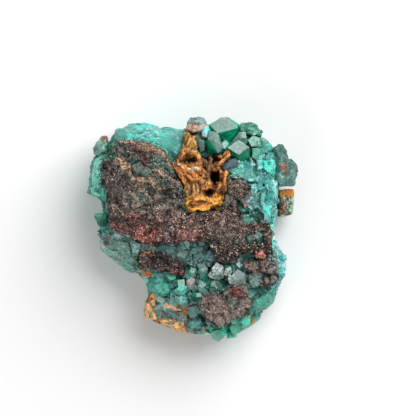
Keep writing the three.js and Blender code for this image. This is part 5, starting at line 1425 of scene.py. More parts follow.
for seed, node in enumerate(["limonite_seam_left", "limonite_seam_bottom"]):
    skin, squares, normal = skin_of([node], LUMP_CELL, swell=0.25)
    points, height = sponge(skin, normal, 0.6, 0.8, 340 + 10 * seed)
    points += normal * (0.5 * rough(skin, 1.5, 2, 350))[:, None]
    paint = Paint(points, (220, 150, 84))
    # partly painted highlight on the ridges and painted shade in the pits
    paint.over((244, 196, 124), ramp(height, 0.0, 0.4) * 0.8)
    paint.over((140, 84, 44), ramp(-height, 0.02, 0.4) * 0.85)
    paint.blotch((100, 122, 104), 0.95, 1.3, 3, 345 + seed, 0.2, 0.34)
    place(node, points, [squares], limonite, "limonite", [node], paint.rgb)

# A pink lump of druse stands on the ledge at the right.
lump_at = np.array([(18.3, -7.4, 0), (19.3, -7, 0), (20.3, -7.7, 0)])
lump_at[:, 2] = read(crust_level, lump_at) + (0, 0.5, 0)
skin, squares, normal = skin_of([], LUMP_CELL, [tube(lump_at, (0.6, 0.95, 0.6))])
points = skin + normal * (0.4 * rough(skin, 0.9, 3, 356))[:, None]
paint = Paint(points, (204, 132, 118))
paint.blotch((138, 84, 78), 1.0, 0.8, 2, 357, 0, 0.3)
place("druse_pink_lump", points, [squares], brown_druse, "brown_druse", (), paint.rgb)

# %% [markdown]
# ## Chips at the edges
#
# Two mottled lumps hang on the sides. The right one is red-brown gossan spotted with pale green malachite,
# under a strip of orange limonite; the left one is green with red-brown stains.

# %% Build the chips

chip_stone = stone("malachite_chip", (0.24, 0.38, 0.2, 1), 0.35, 0.1, 0.3, (0.45, 0.8))


def chip(node, painter, depth=0.35, size=1.5, seed=0):
    """A lump from the frame's solid: its skin roughened by sponge ridges, and painted by its own function."""
    skin, squares, normal = skin_of([node], LUMP_CELL)
    points, height = sponge(skin, normal, depth, size, seed)
    place(node, points, [squares], chip_stone, "malachite", [node], painter(points, height))


def paint_right_chip(p, height):
    """Gossan: red-brown, spotted pale green, with an orange strip along its upper edge."""
    paint = Paint(p, (112, 52, 26))
    paint.over((128, 184, 146), 0.95 * ramp(rough(p, 0.8, 3, 361) + 0.1 * (p[:, 0] - 26.8), 0, 0.14))
    paint.blotch((74, 30, 18), 0.8, 0.7, 2, 362, 0.2, 0.4)
    paint.blotch((176, 214, 184), 0.7, 0.6, 2, 364, 0.25, 0.4)
    strip = ramp(p[:, 1], 9.1, 9.7)
    paint.over((196, 122, 34), strip)
    paint.blotch((96, 56, 22), strip, 0.8, 2, 363, 0.2, 0.5)
    # painted light and shade: lighter where the ridges stand out, darker in the hollows
    return paint.shade(np.clip(0.95 + 0.5 * height, 0.5, 1.4)).rgb


def paint_left_chip(p, height):
    """Pale green, with red-brown stains that get commoner upwards."""
    paint = Paint(p, (116, 170, 146))
    paint.over((142, 82, 58), 0.85 * ramp(rough(p, 1.2, 3, 366) + 0.25 * (p[:, 1] - 23.6), 0.1, 0.4))
    paint.blotch((36, 72, 58), 0.8, 0.9, 2, 367, 0.25, 0.5)
    paint.blotch((170, 206, 176), 0.7, 0.8, 2, 368, 0.3, 0.45)
    # painted light and shade: lighter where the ridges stand out, darker in the hollows
    return paint.shade(np.clip(0.95 + 0.5 * height, 0.5, 1.4)).rgb


chip("malachite_chip", paint_right_chip, 0.35, 1.5, 370)
chip("gossan_chip", paint_left_chip, 0.9, 1.9, 380)

# %% [markdown]
# ## The dioptase crystals
#
# Dioptase grows as short six-sided prisms, each closed by three rhombs. Its sides are clear emerald green,
# and its end faces are silky and pale where countless growth steps scatter the light. So every crystal here
# is two finishes on one body: clear green with a real depth of absorption, and over it a satin veil on the
# faces that look up. The veil's pale colour goes by how far a face looks up, so it is partly the satin's own
# and partly a painted reflection of the light from above. The shapes are convex, so each is the hull of its
# corners, with its edges bevelled a tenth of a millimetre and its faces split finely enough to carry growth
# steps.

# %% A prism's corners

RHOMB_ANGLE = math.radians(51)
PRISM_RATIO = 2.0


def prism(face, tilt, lean, size, root=0):
    """The corners of a prism with three rhombs at its end. `face` is the middle of the rhomb that looks up,
    `tilt` how far its normal leans to +X and +Y, `lean` the bearing in degrees towards which the prism's axis
    leans away from that normal, `size` from axis to side face, and `root` extra length below."""
    up = np.array([tilt[0], tilt[1], 1.0])
    up /= np.linalg.norm(up)
    level = np.array([math.cos(math.radians(lean)), math.sin(math.radians(lean)), 0])
    level -= up * level.dot(up)
    level /= np.linalg.norm(level)
    axis = up * math.cos(RHOMB_ANGLE) + level * math.sin(RHOMB_ANGLE)
    out = up * math.sin(RHOMB_ANGLE) - level * math.cos(RHOMB_ANGLE)
    side = np.cross(axis, out)
    corner = size / math.cos(math.pi / 6)
    rise = corner / 2 * math.tan(RHOMB_ANGLE)
    origin = np.array(face) - out * corner / 2
    points = [origin + axis * rise]
    for i in range(6):
        turn = i * math.pi / 3
        rib = origin + corner * (out * math.cos(turn) + side * math.sin(turn))
        points += [rib + axis * (0 if i % 2 else -rise), rib - axis * (size * PRISM_RATIO + root)]
    return points


print("corners of a prism:", len(prism((0, 0, 0), (0, 0), 90, 1.0)))

# %% The crystals' places

CRYSTALS = {  # seed, kind, and the shapes of each piece
    # The large pair at the top: one block with a broad back face, and a slimmer prism leaning on it.
    "crystals_large_pair": (0, "emerald", [
        [(4.9, 29.6, 24.2), (8.2, 31.6, 22.8), (10.2, 31.7, 22.6), (13.2, 29.7, 23.6), (12.8, 28.6, 24.8),
         (7.1, 27.1, 26.2), (8.3, 23.9, 20.6), (11.6, 24.5, 20.8), (13.8, 27, 20.2), (5.2, 27.4, 22.6),
         (5.6, 29.4, 15), (12.6, 29.2, 15), (12, 25, 15), (7, 25, 15)],
        [(4.4, 25.3, 25.6), (4.8, 28, 25.4), (7.2, 27.3, 26.2), (6.2, 25, 26.4), (9, 23, 24.8),
         (7.4, 21.4, 24.2), (3.9, 24.6, 23.4), (4.4, 21.7, 20.4), (6.8, 20.8, 20.6), (8.9, 22.6, 18),
         (4.8, 27.6, 15), (7.4, 25.6, 15), (7.2, 22.4, 15), (4.4, 23, 15)],
    ]),
    "crystal_square": (1, "pale_teal", [
        [(9.7, 23.1, 26), (13.1, 25.2, 26.2), (16.1, 23.2, 26.6), (13.1, 21, 26.2), (10.6, 20.5, 22.6),
         (13.6, 18.8, 22.2), (16.2, 20, 22.8), (16.8, 22.2, 24), (14.2, 24.9, 15), (10.6, 22.6, 15),
         (13, 20.2, 15), (15.8, 22, 15)],
    ]),
    "crystal_bar": (2, "pale_teal", [prism((14.3, 26.6, 25), (0.1, 0.15), 50, 1.35, 4.5)]),
    "crystals_upper_right": (5, "pale_teal", [
        [(15.6, 25.2, 24.6), (17.2, 26.5, 24), (19.2, 25.8, 23.2), (20.2, 24.2, 22.8), (19.4, 23.3, 23.6),
         (16.6, 23.3, 25), (16.4, 25.6, 15), (19, 24.8, 15), (18, 23.4, 15)],
        [(16.9, 22.9, 25.2), (18.8, 23.1, 24.6), (19.4, 21.6, 24.2), (18.4, 19.4, 23.8), (16.9, 20.2, 24.6),
         (17.2, 22.4, 15), (18.8, 22.2, 15), (18.2, 20.2, 15)],
    ]),
    "crystal_smoky": (6, "smoky_teal", [
        [(1.7, 25.4, 23.6), (3.4, 25.2, 23.8), (3.5, 22.4, 22.8), (2.2, 21.6, 22.2), (1.6, 24.8, 15),
         (3.4, 25, 15), (3.4, 22, 15), (2, 21.4, 15)],
    ]),
    "crystal_blue_grey": (7, "smoky_teal", [prism((10.6, 18.4, 25.2), (-0.3, -0.1), 200, 1.2)]),
    # Small blocks on the step below the middle crust.
    "crystals_step_left": (9, "smoky_teal", [
        prism((-6.2, -5.4, 22.6), (-0.06, 0.12), 65, 1.7),
        prism((-2.7, -6.5, 23), (0.08, 0.1), 110, 1.95),
        prism((-0.7, -4.9, 22), (0.16, -0.04), 30, 1.1),
    ]),
    "crystals_step_right": (10, "smoky_teal", [
        prism((1.9, -4.9, 22.2), (-0.1, 0.1), 140, 1.5),
        prism((1.2, -7.7, 21.6), (0.06, -0.1), 60, 0.95),
        prism((3.7, -7.4, 21.7), (0.1, 0.12), 20, 1.15),
    ]),
    "crystal_step_end": (11, "smoky_teal", [prism((5.1, -9, 21.4), (0.1, 0.1), 80, 0.8)]),
    # Blocks in the trough between the lower crusts.
    "crystal_trough_left": (12, "pale_teal", [prism((0.2, -11.4, 21.4), (0.1, 0.16), 120, 1.15)]),
    "crystal_trough_middle": (13, "emerald", [prism((3.2, -10.7, 21), (-0.05, 0.3), 75, 1.35)]),
    "crystal_white_left": (14, "pale_teal", [
        prism((7.2, -10.6, 23.2), (0.12, 0.2), 100, 1.75),
        prism((6, -12, 22.4), (0.1, 0.2), 60, 0.95),
    ]),
    "crystals_white_right": (15, "pale_teal", [
        prism((10.4, -11.2, 23), (0.12, 0.2), 70, 1.05),
        prism((11, -13.4, 22.6), (0.12, 0.2), 110, 1),
        prism((13, -12.8, 23), (0.02, 0.08), 95, 2),
    ]),
    "crystal_pink_veil": (16, "smoky_teal", [prism((-0.3, -14.3, 20.6), (0.1, 0.1), 100, 1.35)]),
    "crystal_pale_tooth": (17, "pale_teal", [
        [(-4.2, -14.1, 20.8), (-2.1, -13.9, 21), (-1.9, -16.2, 20.7), (-3.9, -16.6, 20.5), (-4.3, -15.2, 15),
         (-2.3, -15, 15), (-2.1, -17.2, 15), (-4.1, -17.4, 15)],
    ]),
    "crystals_emerald_trough": (18, "emerald", [
        prism((0.9, -17.2, 19.4), (0.2, -0.35), 150, 1.35),
        prism((2.9, -14.9, 20.6), (0.5, 0.1), 200, 1.3),
    ]),
    "crystal_rhomb": (19, "pale_teal", [prism((6.8, -15.2, 21.6), (0.06, 0.16), 85, 1.7)]),
    "crystal_point": (20, "emerald", [
        [(5.2, -28.9, 15.6), (7.2, -28.3, 17.4), (8.9, -28.8, 16), (9, -30.6, 13), (7.4, -32, 11.6),
         (5.6, -31, 12.4), (7.2, -30.2, 16.4), (5.8, -28.4, 8), (8.6, -28.4, 8), (7.4, -30.8, 7.4)],
    ]),
    "crystals_lower_right": (21, "emerald", [
        prism((12.2, -28.3, 16.6), (0.25, -0.35), 250, 1.8),
        prism((11.8, -26, 18.6), (-0.2, -0.5), 240, 1.2),
    ]),
    "crystals_on_right_crust": (22, "smoky_teal", [
        prism((18.5, -1.5, 25.9), (0.04, 0.1), 100, 1.5),
        prism((16.4, -2.1, 25.7), (-0.04, 0.08), 80, 1.2),
    ]),
    "crystal_dark_bar": (23, "emerald", [
        [(14, -7.2, 24.6), (17.6, -7, 24.8), (18.2, -7.6, 24.4), (14.2, -8, 24), (14, -7.2, 18),
         (17.8, -7, 18), (18, -8, 18), (14.2, -8.1, 18)],
    ]),
    "crystals_emerald_left": (24, "deep", [
        [(-27.7, 4.5, 15), (-26.2, 4.8, 18.4), (-24.2, 4.4, 21.6), (-23.8, 1.4, 21.2), (-26.6, 1.2, 17),
         (-27.8, 3.4, 14.2), (-25.6, 0.4, 19), (-24.4, 4, 10), (-24, 1, 10), (-26.8, 3.4, 10)],
    ]),
    "crystal_left_wedge": (25, "smoky_teal", [
        [(-30, 10.4, 15), (-29.4, 12.4, 14), (-28.4, 13.6, 15.4), (-27.2, 12.8, 18.4), (-27, 10.2, 18.6),
         (-28, 9.4, 16.4), (-29.4, 10.8, 10), (-28.2, 12.8, 9), (-27.4, 10.2, 9), (-25, 12.2, 12),
         (-25, 10.6, 12)],
    ]),
    "crystal_left_bar": (26, "emerald", [
        [(-24.5, 11.6, 23.6), (-23.8, 11.6, 24), (-24, 8, 23.6), (-24.7, 8, 22.8), (-24.6, 11.6, 17),
         (-23.9, 11.6, 17), (-24, 8, 17), (-24.8, 8, 17)],
    ]),
    "crystals_on_left_crust": (27, "smoky_teal", [
        prism((-14.9, 17.5, 27.5), (0.02, 0.05), 70, 2.1, 1),
        prism((-12.7, 16.4, 27.5), (0.06, 0.03), 95, 1.7, 1),
    ]),
}
print("crystal pieces:", len(CRYSTALS))

# %% Faces, edges and growth steps


def hull_of(corners):
    """A bmesh of the convex hull of some corners."""
    shape = bmesh.new()
    for corner in corners:
        shape.verts.new(corner)
    made = bmesh.ops.convex_hull(shape, input=shape.verts)
    loose = [v for v in made["geom_interior"] if isinstance(v, bmesh.types.BMVert)]
    bmesh.ops.delete(shape, geom=loose, context="VERTS")
    return shape


def arrays_of(shape):
    """The points and triangles of a bmesh, which is freed."""
    bmesh.ops.triangulate(shape, faces=shape.faces[:])
    bmesh.ops.recalc_face_normals(shape, faces=shape.faces[:])
    shape.verts.index_update()
    points = np.array([v.co[:] for v in shape.verts])
    faces = np.array([[v.index for v in f.verts] for f in shape.faces])
    shape.free()
    return points, faces


def crystal_body(corners, bevel, cell):
    """Points and triangles of the hull of the corners, with bevelled edges and no edge longer than `cell`."""
    shape = hull_of(corners)
    bmesh.ops.dissolve_limit(shape, angle_limit=math.radians(5), verts=shape.verts, edges=shape.edges)
    bmesh.ops.bevel(shape, geom=shape.edges[:], offset=bevel, segments=2, profile=0.6, affect="EDGES",
                    clamp_overlap=True)
    bmesh.ops.triangulate(shape, faces=shape.faces[:])
    for _ in range(6):
        long = [edge for edge in shape.edges if edge.calc_length() > cell]
        if not long:
            break
        bmesh.ops.subdivide_edges(shape, edges=long, cuts=1)
        bmesh.ops.triangulate(shape, faces=[f for f in shape.faces if len(f.verts) > 3])
    return arrays_of(shape)


def growth(p, normal, seed):
    """Growth steps and pits: large patches of each face stop a little short of it, and a few small holes are
    etched into it, each round a scattered point that drew a high number. Returns the pits as well."""
    _, second, _, owner = cells(p, 2.6, seed)
    step = ramp(lattice(owner, seed + 7), 0.6, 0.65)
    near, _, _, owner = cells(p, 0.95, seed + 3)
    pit = ramp(0.2 - near, 0, 0.12) * (lattice(owner, seed + 9) > 0.8)
    wave = 0.03 * noise(p, 1.1, seed + 8)
    return p - normal * (0.07 * step + 0.22 * pit - wave)[:, None], pit, step


print("triangles of a bevelled block:", len(crystal_body(CUBE, 0.1, 0.5)[1]))

# %% The crystals' greens

# the satin veil's pale colour, given to faces that look up, is partly the satin's own and partly a painted
# reflection
KINDS = {  # side, its lights, satin veil, how level a face is when veiled
    "deep": ((10, 122, 92), (40, 152, 120), (18, 122, 92), (-1.2, -1.1)),
    "emerald": ((0, 190, 140), (34, 224, 176), (121, 152, 144), (0.66, 0.78)),
    "pale_teal": ((28, 132, 104), (70, 176, 148), (138, 168, 160), (0.6, 0.8)),
    "smoky_teal": ((36, 88, 78), (66, 116, 106), (92, 122, 116), (0.45, 0.85)),
}
LOOKS = {  # crystals whose colours differ from their kind's
    "crystal_square": ((0, 134, 96), (40, 178, 138), (146, 172, 164), (0.66, 0.8)),
    "crystal_left_wedge": ((44, 112, 92), (70, 138, 114), (58, 118, 98), (-0.2, 0.6)),
    "crystal_left_bar": ((0, 120, 84), (24, 160, 118), (20, 140, 104), (0.5, 0.9)),
    "crystal_white_left": ((70, 122, 112), (120, 160, 150), (186, 198, 196), (0.3, 0.7)),
    "crystals_white_right": ((60, 116, 104), (120, 160, 150), (166, 186, 182), (0.3, 0.7)),
    "crystal_pink_veil": ((84, 108, 98), (120, 120, 110), (148, 138, 132), (0.3, 0.8)),
    "crystals_upper_right": ((36, 134, 108), (64, 164, 138), (104, 174, 154), (0.8, 1.0)),
    "crystal_bar": ((30, 130, 100), (90, 170, 150), (108, 146, 136), (0.5, 0.8)),
    "crystals_step_left": ((26, 70, 62), (52, 98, 90), (86, 117, 109), (0.45, 0.85)),
    "crystals_step_right": ((26, 70, 62), (52, 98, 90), (82, 112, 105), (0.45, 0.85)),
    "crystal_pale_tooth": ((80, 160, 136), (120, 190, 170), (140, 196, 178), (0.4, 0.9)),
    "crystal_rhomb": ((40, 112, 94), (80, 146, 128), (98, 132, 120), (0.5, 0.85)),
    "crystal_smoky": ((56, 100, 90), (86, 126, 116), (118, 140, 132), (0.3, 0.8)),
    "crystals_emerald_trough": ((4, 104, 76), (20, 134, 104), (58, 120, 100), (0.66, 0.85)),
    "crystal_blue_grey": ((40, 60, 66), (60, 84, 90), (72, 92, 98), (0.4, 0.85)),
    "crystals_lower_right": ((36, 140, 106), (66, 168, 134), (84, 172, 142), (0.4, 0.9)),
    "crystal_point": ((28, 152, 116), (64, 180, 144), (60, 168, 134), (-0.3, 0.5)),
    "crystals_on_left_crust": ((30, 56, 50), (46, 78, 70), (58, 84, 74), (0.2, 0.8)),
    "crystal_dark_bar": ((4, 66, 50), (8, 84, 64), (6, 66, 50), (0.6, 0.9)),
    "crystals_on_right_crust": ((12, 64, 52), (40, 110, 92), (70, 110, 100), (0.4, 0.9)),
    "crystal_trough_left": ((40, 118, 98), (80, 160, 140), (112, 156, 144), (0.4, 0.9)),
}
CRACKED = {"crystal_white_left": 0.9, "crystals_white_right": 0.8, "crystals_on_right_crust": 0.5,
           "crystals_on_left_crust": 0.5, "crystal_trough_left": 0.4, "crystals_step_left": 0.4,
           "crystals_step_right": 0.4, "crystal_rhomb": 0.3}
WHOLE = ((13.9, -12.6), 2.6)  # but within this distance of this point nothing is cracked
DUSTED = {"crystals_on_left_crust": 0.1}
SHADES = [  # spots on the crystals: colour, middle, half widths
    ((100, 122, 114), (13.9, -13.2), (2.6, 3)), ((0, 58, 42), (-25.2, 1.9), (1.7, 1.5)),
    ((56, 104, 90), (7.6, -13.3), (1.8, 0.9)), ((16, 112, 86), (8.3, 25.2), (0.8, 1.5)),
    ((96, 176, 150), (-26.4, 4.1), (1.4, 0.6)), ((70, 150, 128), (17.6, 24.6), (0.9, 1.6)),
]
print("kinds:", len(KINDS), "and crystals with greens of their own:", len(LOOKS))

# %% Two finishes on one body

DIOPTASE_IOR = 1.66
BODY_GREEN = (0.05, 0.75, 0.5, 1)  # the light that the clear crystal lets through


def dioptase(name, clearness, density, gloss=0.5):
    """Clear green where the vertex value `veil` is 0, satin where it is 1. `gloss` is the specular level."""
    s = Shader(name)
    fine = s.noise(0.5, 4.0, 0.6)
    veil = s.node("ShaderNodeAttribute", {"attribute_name": "veil"}, out="Fac")
    bump = s.bump(fine, 0.04)
    clear = s.node("ShaderNodeBsdfPrincipled", {}, {
        "Base Color": s.tint(), "Roughness": 0.1, "IOR": DIOPTASE_IOR, "Transmission Weight": clearness,
        "Normal": bump, "Specular IOR Level": gloss})
    shade = s.ramp(s.noise(0.9, 5.0, 0.7), 0.3, 0.7, 0.74, 1.32)
    satin = s.node("ShaderNodeBsdfPrincipled", {}, {
        "Base Color": s.shaded(s.tint(), shade), "Roughness": s.ramp(fine, 0.3, 0.7, 0.3, 0.5),
        "IOR": DIOPTASE_IOR, "Normal": bump, "Specular IOR Level": gloss})
    both = s.node("ShaderNodeMixShader", {}, {0: veil, 1: clear, 2: satin})
    depth = s.node("ShaderNodeVolumeAbsorption", {}, {"Color": BODY_GREEN, "Density": density})
    output = s.tree.nodes.new("ShaderNodeOutputMaterial")
    s.tree.links.new(both.output, output.inputs["Surface"])
    s.tree.links.new(depth.output, output.inputs["Volume"])
    return s.material


FINISHES = {  # each kind's material and slot
    "deep": (dioptase("dioptase_deep", 0.3, 40.0, 0.1), "dioptase_emerald"),
    "emerald": (dioptase("dioptase_emerald", 0.3, 40.0), "dioptase_emerald"),
    "pale_teal": (dioptase("dioptase_pale", 0.25, 50.0), "dioptase_pale"),
    "smoky_teal": (dioptase("dioptase_smoky", 0.15, 80.0), "dioptase_smoky"),
}
print("dioptase materials:", [made.name for made, _ in FINISHES.values()])

# %% Build the crystals

LARGE_CRYSTAL = 8.0  # mm: larger ones take the coarser cells
FINE_CELL = 0.26
COARSE_CELL = 0.34
for name, (seed, kind, shapes) in CRYSTALS.items():
    side, light, satin, (steep, level) = LOOKS.get(name, KINDS[kind])
    parts = []
    count = 0
    for n, corners in enumerate(shapes):
        span = np.ptp(np.array(corners), axis=0).max()
        cell = FINE_CELL if span < LARGE_CRYSTAL else COARSE_CELL
        points, faces = crystal_body(corners, 0.06 + 0.005 * span, cell)
        normal = normals_of(points, [faces])
        grown, pit, step = growth(points, normal, 400 + 10 * seed + n)
        # faces that look up are veiled: satin, and painted pale, partly as a painted reflection of the light
        # from above
        veil = ramp(normal[:, 2], steep, level)
        paint = Paint(grown, side)
        streak = rough(grown * (0.5, 0.5, 1.6) + 0.6 * normal, 1.6, 3, 401 + seed)
        paint.over(light, 0.75 * ramp(streak, 0.0, 0.45))
        paint.over((0, 60, 44), 0.6 * ramp(-streak, 0.1, 0.5) * (kind in ("emerald", "deep")))
        paint.over(satin, veil)
        paint.over(np.array(satin) * 0.7 + 50, 0.4 * veil * ramp(rough(grown, 2.5, 2, 402 + seed), 0, 0.5))
        for k, (colour, at, radii) in enumerate(SHADES):
            paint.spot(colour, at, radii, 0.85, 0.4, 540 + k)
        crack = CRACKED.get(name, 0) * ramp(0.16 - facets(grown, 1.3, 0.5, 403 + seed)[2], 0, 0.1)
        crack = crack * ramp(np.hypot(*(grown[:, :2] - WHOLE[0]).T), WHOLE[1] - 0.4, WHOLE[1])
        paint.over((34, 84, 72), crack)
        grown = grown - normal * (0.15 * crack)[:, None]
        if name in DUSTED:
            dust = ramp(rough(grown, 0.9, 3, 404 + seed) + DUSTED[name], 0.05, 0.25)
            paint.over((84, 80, 72), 0.85 * dust)
            paint.blotch((40, 34, 32), dust, 0.5, 2, 405 + seed, 0, 0.2, grown)
            grown = grown + normal * (0.25 * dust * rough(grown, 0.6, 2, 406 + seed))[:, None]
            veil = np.maximum(veil, dust)
        # painted shade: the sunk pits and growth steps are darker
        paint.over((40, 92, 78), 0.8 * pit)
        paint.shade(1 - 0.08 * step)
        parts.append((grown, faces + count, paint.rgb, veil * (1 - 0.6 * pit)))
        count += len(points)
    points, faces, tints, veils = (np.concatenate([part[i] for part in parts]) for i in range(4))
    place(name, points, [faces], *FINISHES[kind], [name], tints, veil=veils)

# %% [markdown]
# ## Rounded crystal masses
#
# Some masses are many crystals grown so close together that only their blunt ends show: three in the lower
# left, two lobes behind the shoulders and the knob at the top. They start from the frame's solids, and
# cleavage facets break them up.

# %% Build the masses

SPOTS = [  # stains on the masses: colour, middle, half widths
    ((204, 156, 122), (0.9, 28.7), (2.1, 1.3)), ((196, 142, 104), (-0.8, 28), (1, 0.9)),
    ((104, 70, 70), (1.3, 29.9), (1.4, 0.5)), ((118, 150, 138), (2.6, 27.4), (1, 0.7)),
    ((214, 130, 70), (3.7, 28.9), (0.5, 0.9)), ((70, 220, 200), (4.4, 27.9), (0.8, 1.3)),
    ((176, 100, 62), (26, 17.8), (1.1, 1)), ((116, 70, 50), (26.6, 16), (0.7, 1.8)),
    # the first spot on the next line is a painted highlight: a white glint on the top lobe
    ((206, 232, 224), (17.4, 26.7), (0.8, 0.3)), ((60, 40, 56), (-8.1, -17), (0.45, 0.35)),
    ((150, 196, 178), (-4.6, -18), (0.9, 0.6)), ((236, 244, 240), (-0.9, -18.8), (0.4, 0.6)),
    ((122, 160, 146), (25.4, 13.6), (1.4, 1.8)), ((92, 66, 78), (-0.2, -25.4), (1.3, 0.5)),
    ((196, 132, 60), (-3.6, -21.2), (1, 0.4)),
]
MASSES = {  # slot, dark, light, facet size, slope, swell
    "crystal_mass_left": ("green_rock", (60, 160, 132), (104, 190, 162), 3.8, 0.16, 0.25),
    "crystal_mass_middle": ("dioptase_pale", (64, 142, 118), (118, 172, 154), 1.9, 0.5, 0.3),
    "crystal_mass_bottom": ("dioptase_smoky", (52, 106, 94), (92, 144, 132), 1.7, 0.5, 0.3),
    "crystals_right_lobe": ("dioptase_smoky", (44, 86, 74), (66, 114, 98), 4.2, 0.2, 0.15),
    "crystals_top_lobe": ("dioptase_smoky", (40, 110, 88), (90, 160, 134), 1.9, 0.6, 0.1),
    "crystal_knob": ("dioptase_smoky", (104, 138, 128), (146, 172, 162), 4.0, 0.16, 0.1),
}
JOINTS = {"crystals_right_lobe": [([(23.8, 21.6, 15), (24.6, 19, 16), (24.8, 16, 15.6), (25, 13, 14.4)],
                                   (2, 2.1, 2, 1.5))]}
MASS_CELL = 0.17
mass_stone = stone("crystal_mass", (0.05, 0.26, 0.18, 1), 0.3, 0.05, 0.4, (0.18, 0.42))
for seed, (node, (slot, dark, light, size, slope, swell)) in enumerate(MASSES.items()):
    joints = [tube(path, radii) for path, radii in JOINTS.get(node, ())]
    skin, squares, normal = skin_of([node], MASS_CELL, joints, swell)
    height, chance, edge = facets(skin, size, slope, 500 + seed)
    small, fine_chance, _ = facets(skin, 0.4 * size, 0.5, 510 + seed)
    points = skin + normal * np.clip(0.8 * height + 0.4 * small, -0.8, 0.25)[:, None]
    paint = Paint(points, dark)
    paint.over(light, 0.8 * ramp(chance, 0.3, 0.9))
    paint.over(light, 0.4 * (fine_chance > 0.7))
    # painted shade in the creases at some facets' edges
    paint.over((14, 62, 48), 0.5 * ramp(0.3 - edge, 0, 0.25) * (chance < 0.5))
    for n, (colour, at, radii) in enumerate(SPOTS):
        paint.spot(colour, at, radii, 0.85, 0.8, 530 + n)
    # painted light and shade: lighter where the facets stand high, with some random tone
    paint.shade(np.clip(1 + 0.4 * height + 0.15 * rough(points, 0.7, 2, 520), 0.6, 1.4))
    place(node, points, [squares], mass_stone, slot, [node], paint.rgb)

# %% [markdown]
# ## Fields of small blocks
#
# Between the large crystals the rock is packed with small ones. Each is the same prism, turned its own way
# and joined into one mesh for each field. Every face has one flat colour, so these colours are kept on the
# faces' corners instead of the points: a level face is veiled, a steep one is clear green. Each face is also
# painted lighter the more it looks up, as painted light, and the veil's pale colour is partly a painted
# reflection of the light from above.

# %% Two forms of block, and how high the rock is

PRISM = arrays_of(hull_of(prism((0, 0, 0), (0, 0), 90, 1.0)))
RHOMB = arrays_of(hull_of(np.where(CUBE[:, 2:] > 0, 0.7, 0.8) * (CUBE + (0.12, 0.2, 0) * CUBE[:, [1, 2, 0]])))
rock_map = np.zeros((MAP_SIZE, MAP_SIZE))
for points in (rock_top, rock_side):
    cell = ((points[:, :2] + MAP_HALF) / MAP_CELL).astype(int)
    np.maximum.at(rock_map, (cell[:, 1], cell[:, 0]), points[:, 2])
rock_map = blurred(rock_map, 0.25)
print("highest rock in mm:", round(float(rock_map.max()), 1))

# %% The fields

# the veil colour on level faces is partly a painted reflection of the light from above
FIELDS = {  # outline, count, sizes, rise, greens, veil, share of veiled
    "step": ([(-8.6, -4), (-2, -3.2), (5, -3), (5.6, -8), (8, -9.2), (3, -10), (-1.6, -9.8), (-5, -7.6),
              (-8, -6)], 110, (0.5, 1.5), 0.4,
             [(68, 106, 98), (54, 92, 84), (80, 120, 112), (38, 76, 68)], (116, 144, 136), 0.75),
    "trough": ([(-1.6, -9.8), (3, -10), (8, -9.2), (15, -9.8), (15, -14.6), (9, -15.8), (2.4, -17.6),
                (-1, -16), (-2.4, -13)], 130, (0.5, 1.3), 0.6,
               [(6, 76, 56), (14, 96, 72), (8, 54, 42), (46, 112, 94)], (108, 146, 134), 0.5),
    "gap": ([(14.4, 28), (16.4, 27.8), (16.8, 24.6), (15, 24.2)], 18, (0.7, 1.3), 1.8,
            [(60, 150, 122), (84, 170, 144)], (140, 186, 170), 0.6),
    "emerald": ([(-2.6, -16), (3, -17), (2.6, -20), (0, -20), (-2, -19)], 20, (0.6, 1.3), 0.4,
                [(6, 86, 62), (14, 104, 76), (6, 62, 46)], (86, 144, 122), 0.25),
    "shoulder": ([(16.6, 20.8), (20, 20), (20.8, 23), (19.4, 25), (16.6, 26.6), (14, 26), (16.6, 24)], 52,
                 (0.6, 1.2), 0.6,
                 [(40, 144, 116), (26, 122, 96), (80, 172, 150), (112, 186, 170)], (156, 198, 188), 0.45),
    "wall": ([(15, 20.6), (20, 21.4), (24.2, 21.2), (24.4, 12), (24.2, 4), (22.6, 3), (20.6, 8), (18.8, 13),
              (15.4, 17.6)], 28, (0.4, 0.9), 0.4,
             [(56, 142, 126), (72, 158, 142), (46, 128, 112)], (110, 168, 154), 0.3),
    "top": ([(-1.4, 26.6), (5, 29.4), (14, 28.8), (14.4, 26), (9, 24), (4, 24.6)], 50, (0.6, 1.4), 0.6,
            [(30, 120, 96), (50, 150, 122), (70, 170, 146)], (140, 186, 172), 0.5),
    "rim": ([(22.6, 3), (24, 3.4), (24, -4), (26.4, -8), (26.2, -13), (24, -18), (22.4, -17), (24, -12),
             (23.4, -6), (22.6, -1)], 30, (0.4, 0.8), 0.4,
            [(70, 168, 152), (96, 176, 164), (50, 140, 122), (120, 168, 166)], (140, 180, 172), 0.35),
    "foot": ([(9, -26), (14, -25), (16, -27.6), (12, -29.4), (5, -29.6), (4, -28)], 46, (0.6, 1.3), 0.5,
             [(58, 168, 136), (80, 182, 150), (48, 150, 120)], (104, 180, 154), 0.4),
    "corner": ([(-6.2, -12.6), (-1, -13), (-0.6, -19), (-5.6, -19)], 26, (0.6, 1.4), 0.35,
               [(50, 130, 106), (74, 148, 126), (36, 112, 90)], (108, 160, 142), 0.5),
    "pocket": ([(7.2, 13.6), (9.2, 13.4), (9.6, 10), (8, 9.6)], 14, (0.5, 0.9), 1.2,
               [(70, 90, 96), (90, 112, 116)], (120, 140, 144), 0.6),
    "slate": ([(8.6, 19.8), (10.4, 19.4), (10.4, 17), (8.6, 17)], 10, (0.6, 1.1), 1.0,
              [(60, 76, 84), (84, 100, 106)], (110, 128, 132), 0.6),
    "notch": ([(1.1, 27.2), (3.4, 26.8), (3.4, 25.2), (1.3, 24.8)], 16, (0.6, 1.1), 1.0,
              [(110, 146, 126), (150, 156, 132)], (176, 184, 164), 0.6),
}
SQUARE = ("step", "pocket", "slate")
LOWEST_BLOCK = 12.0
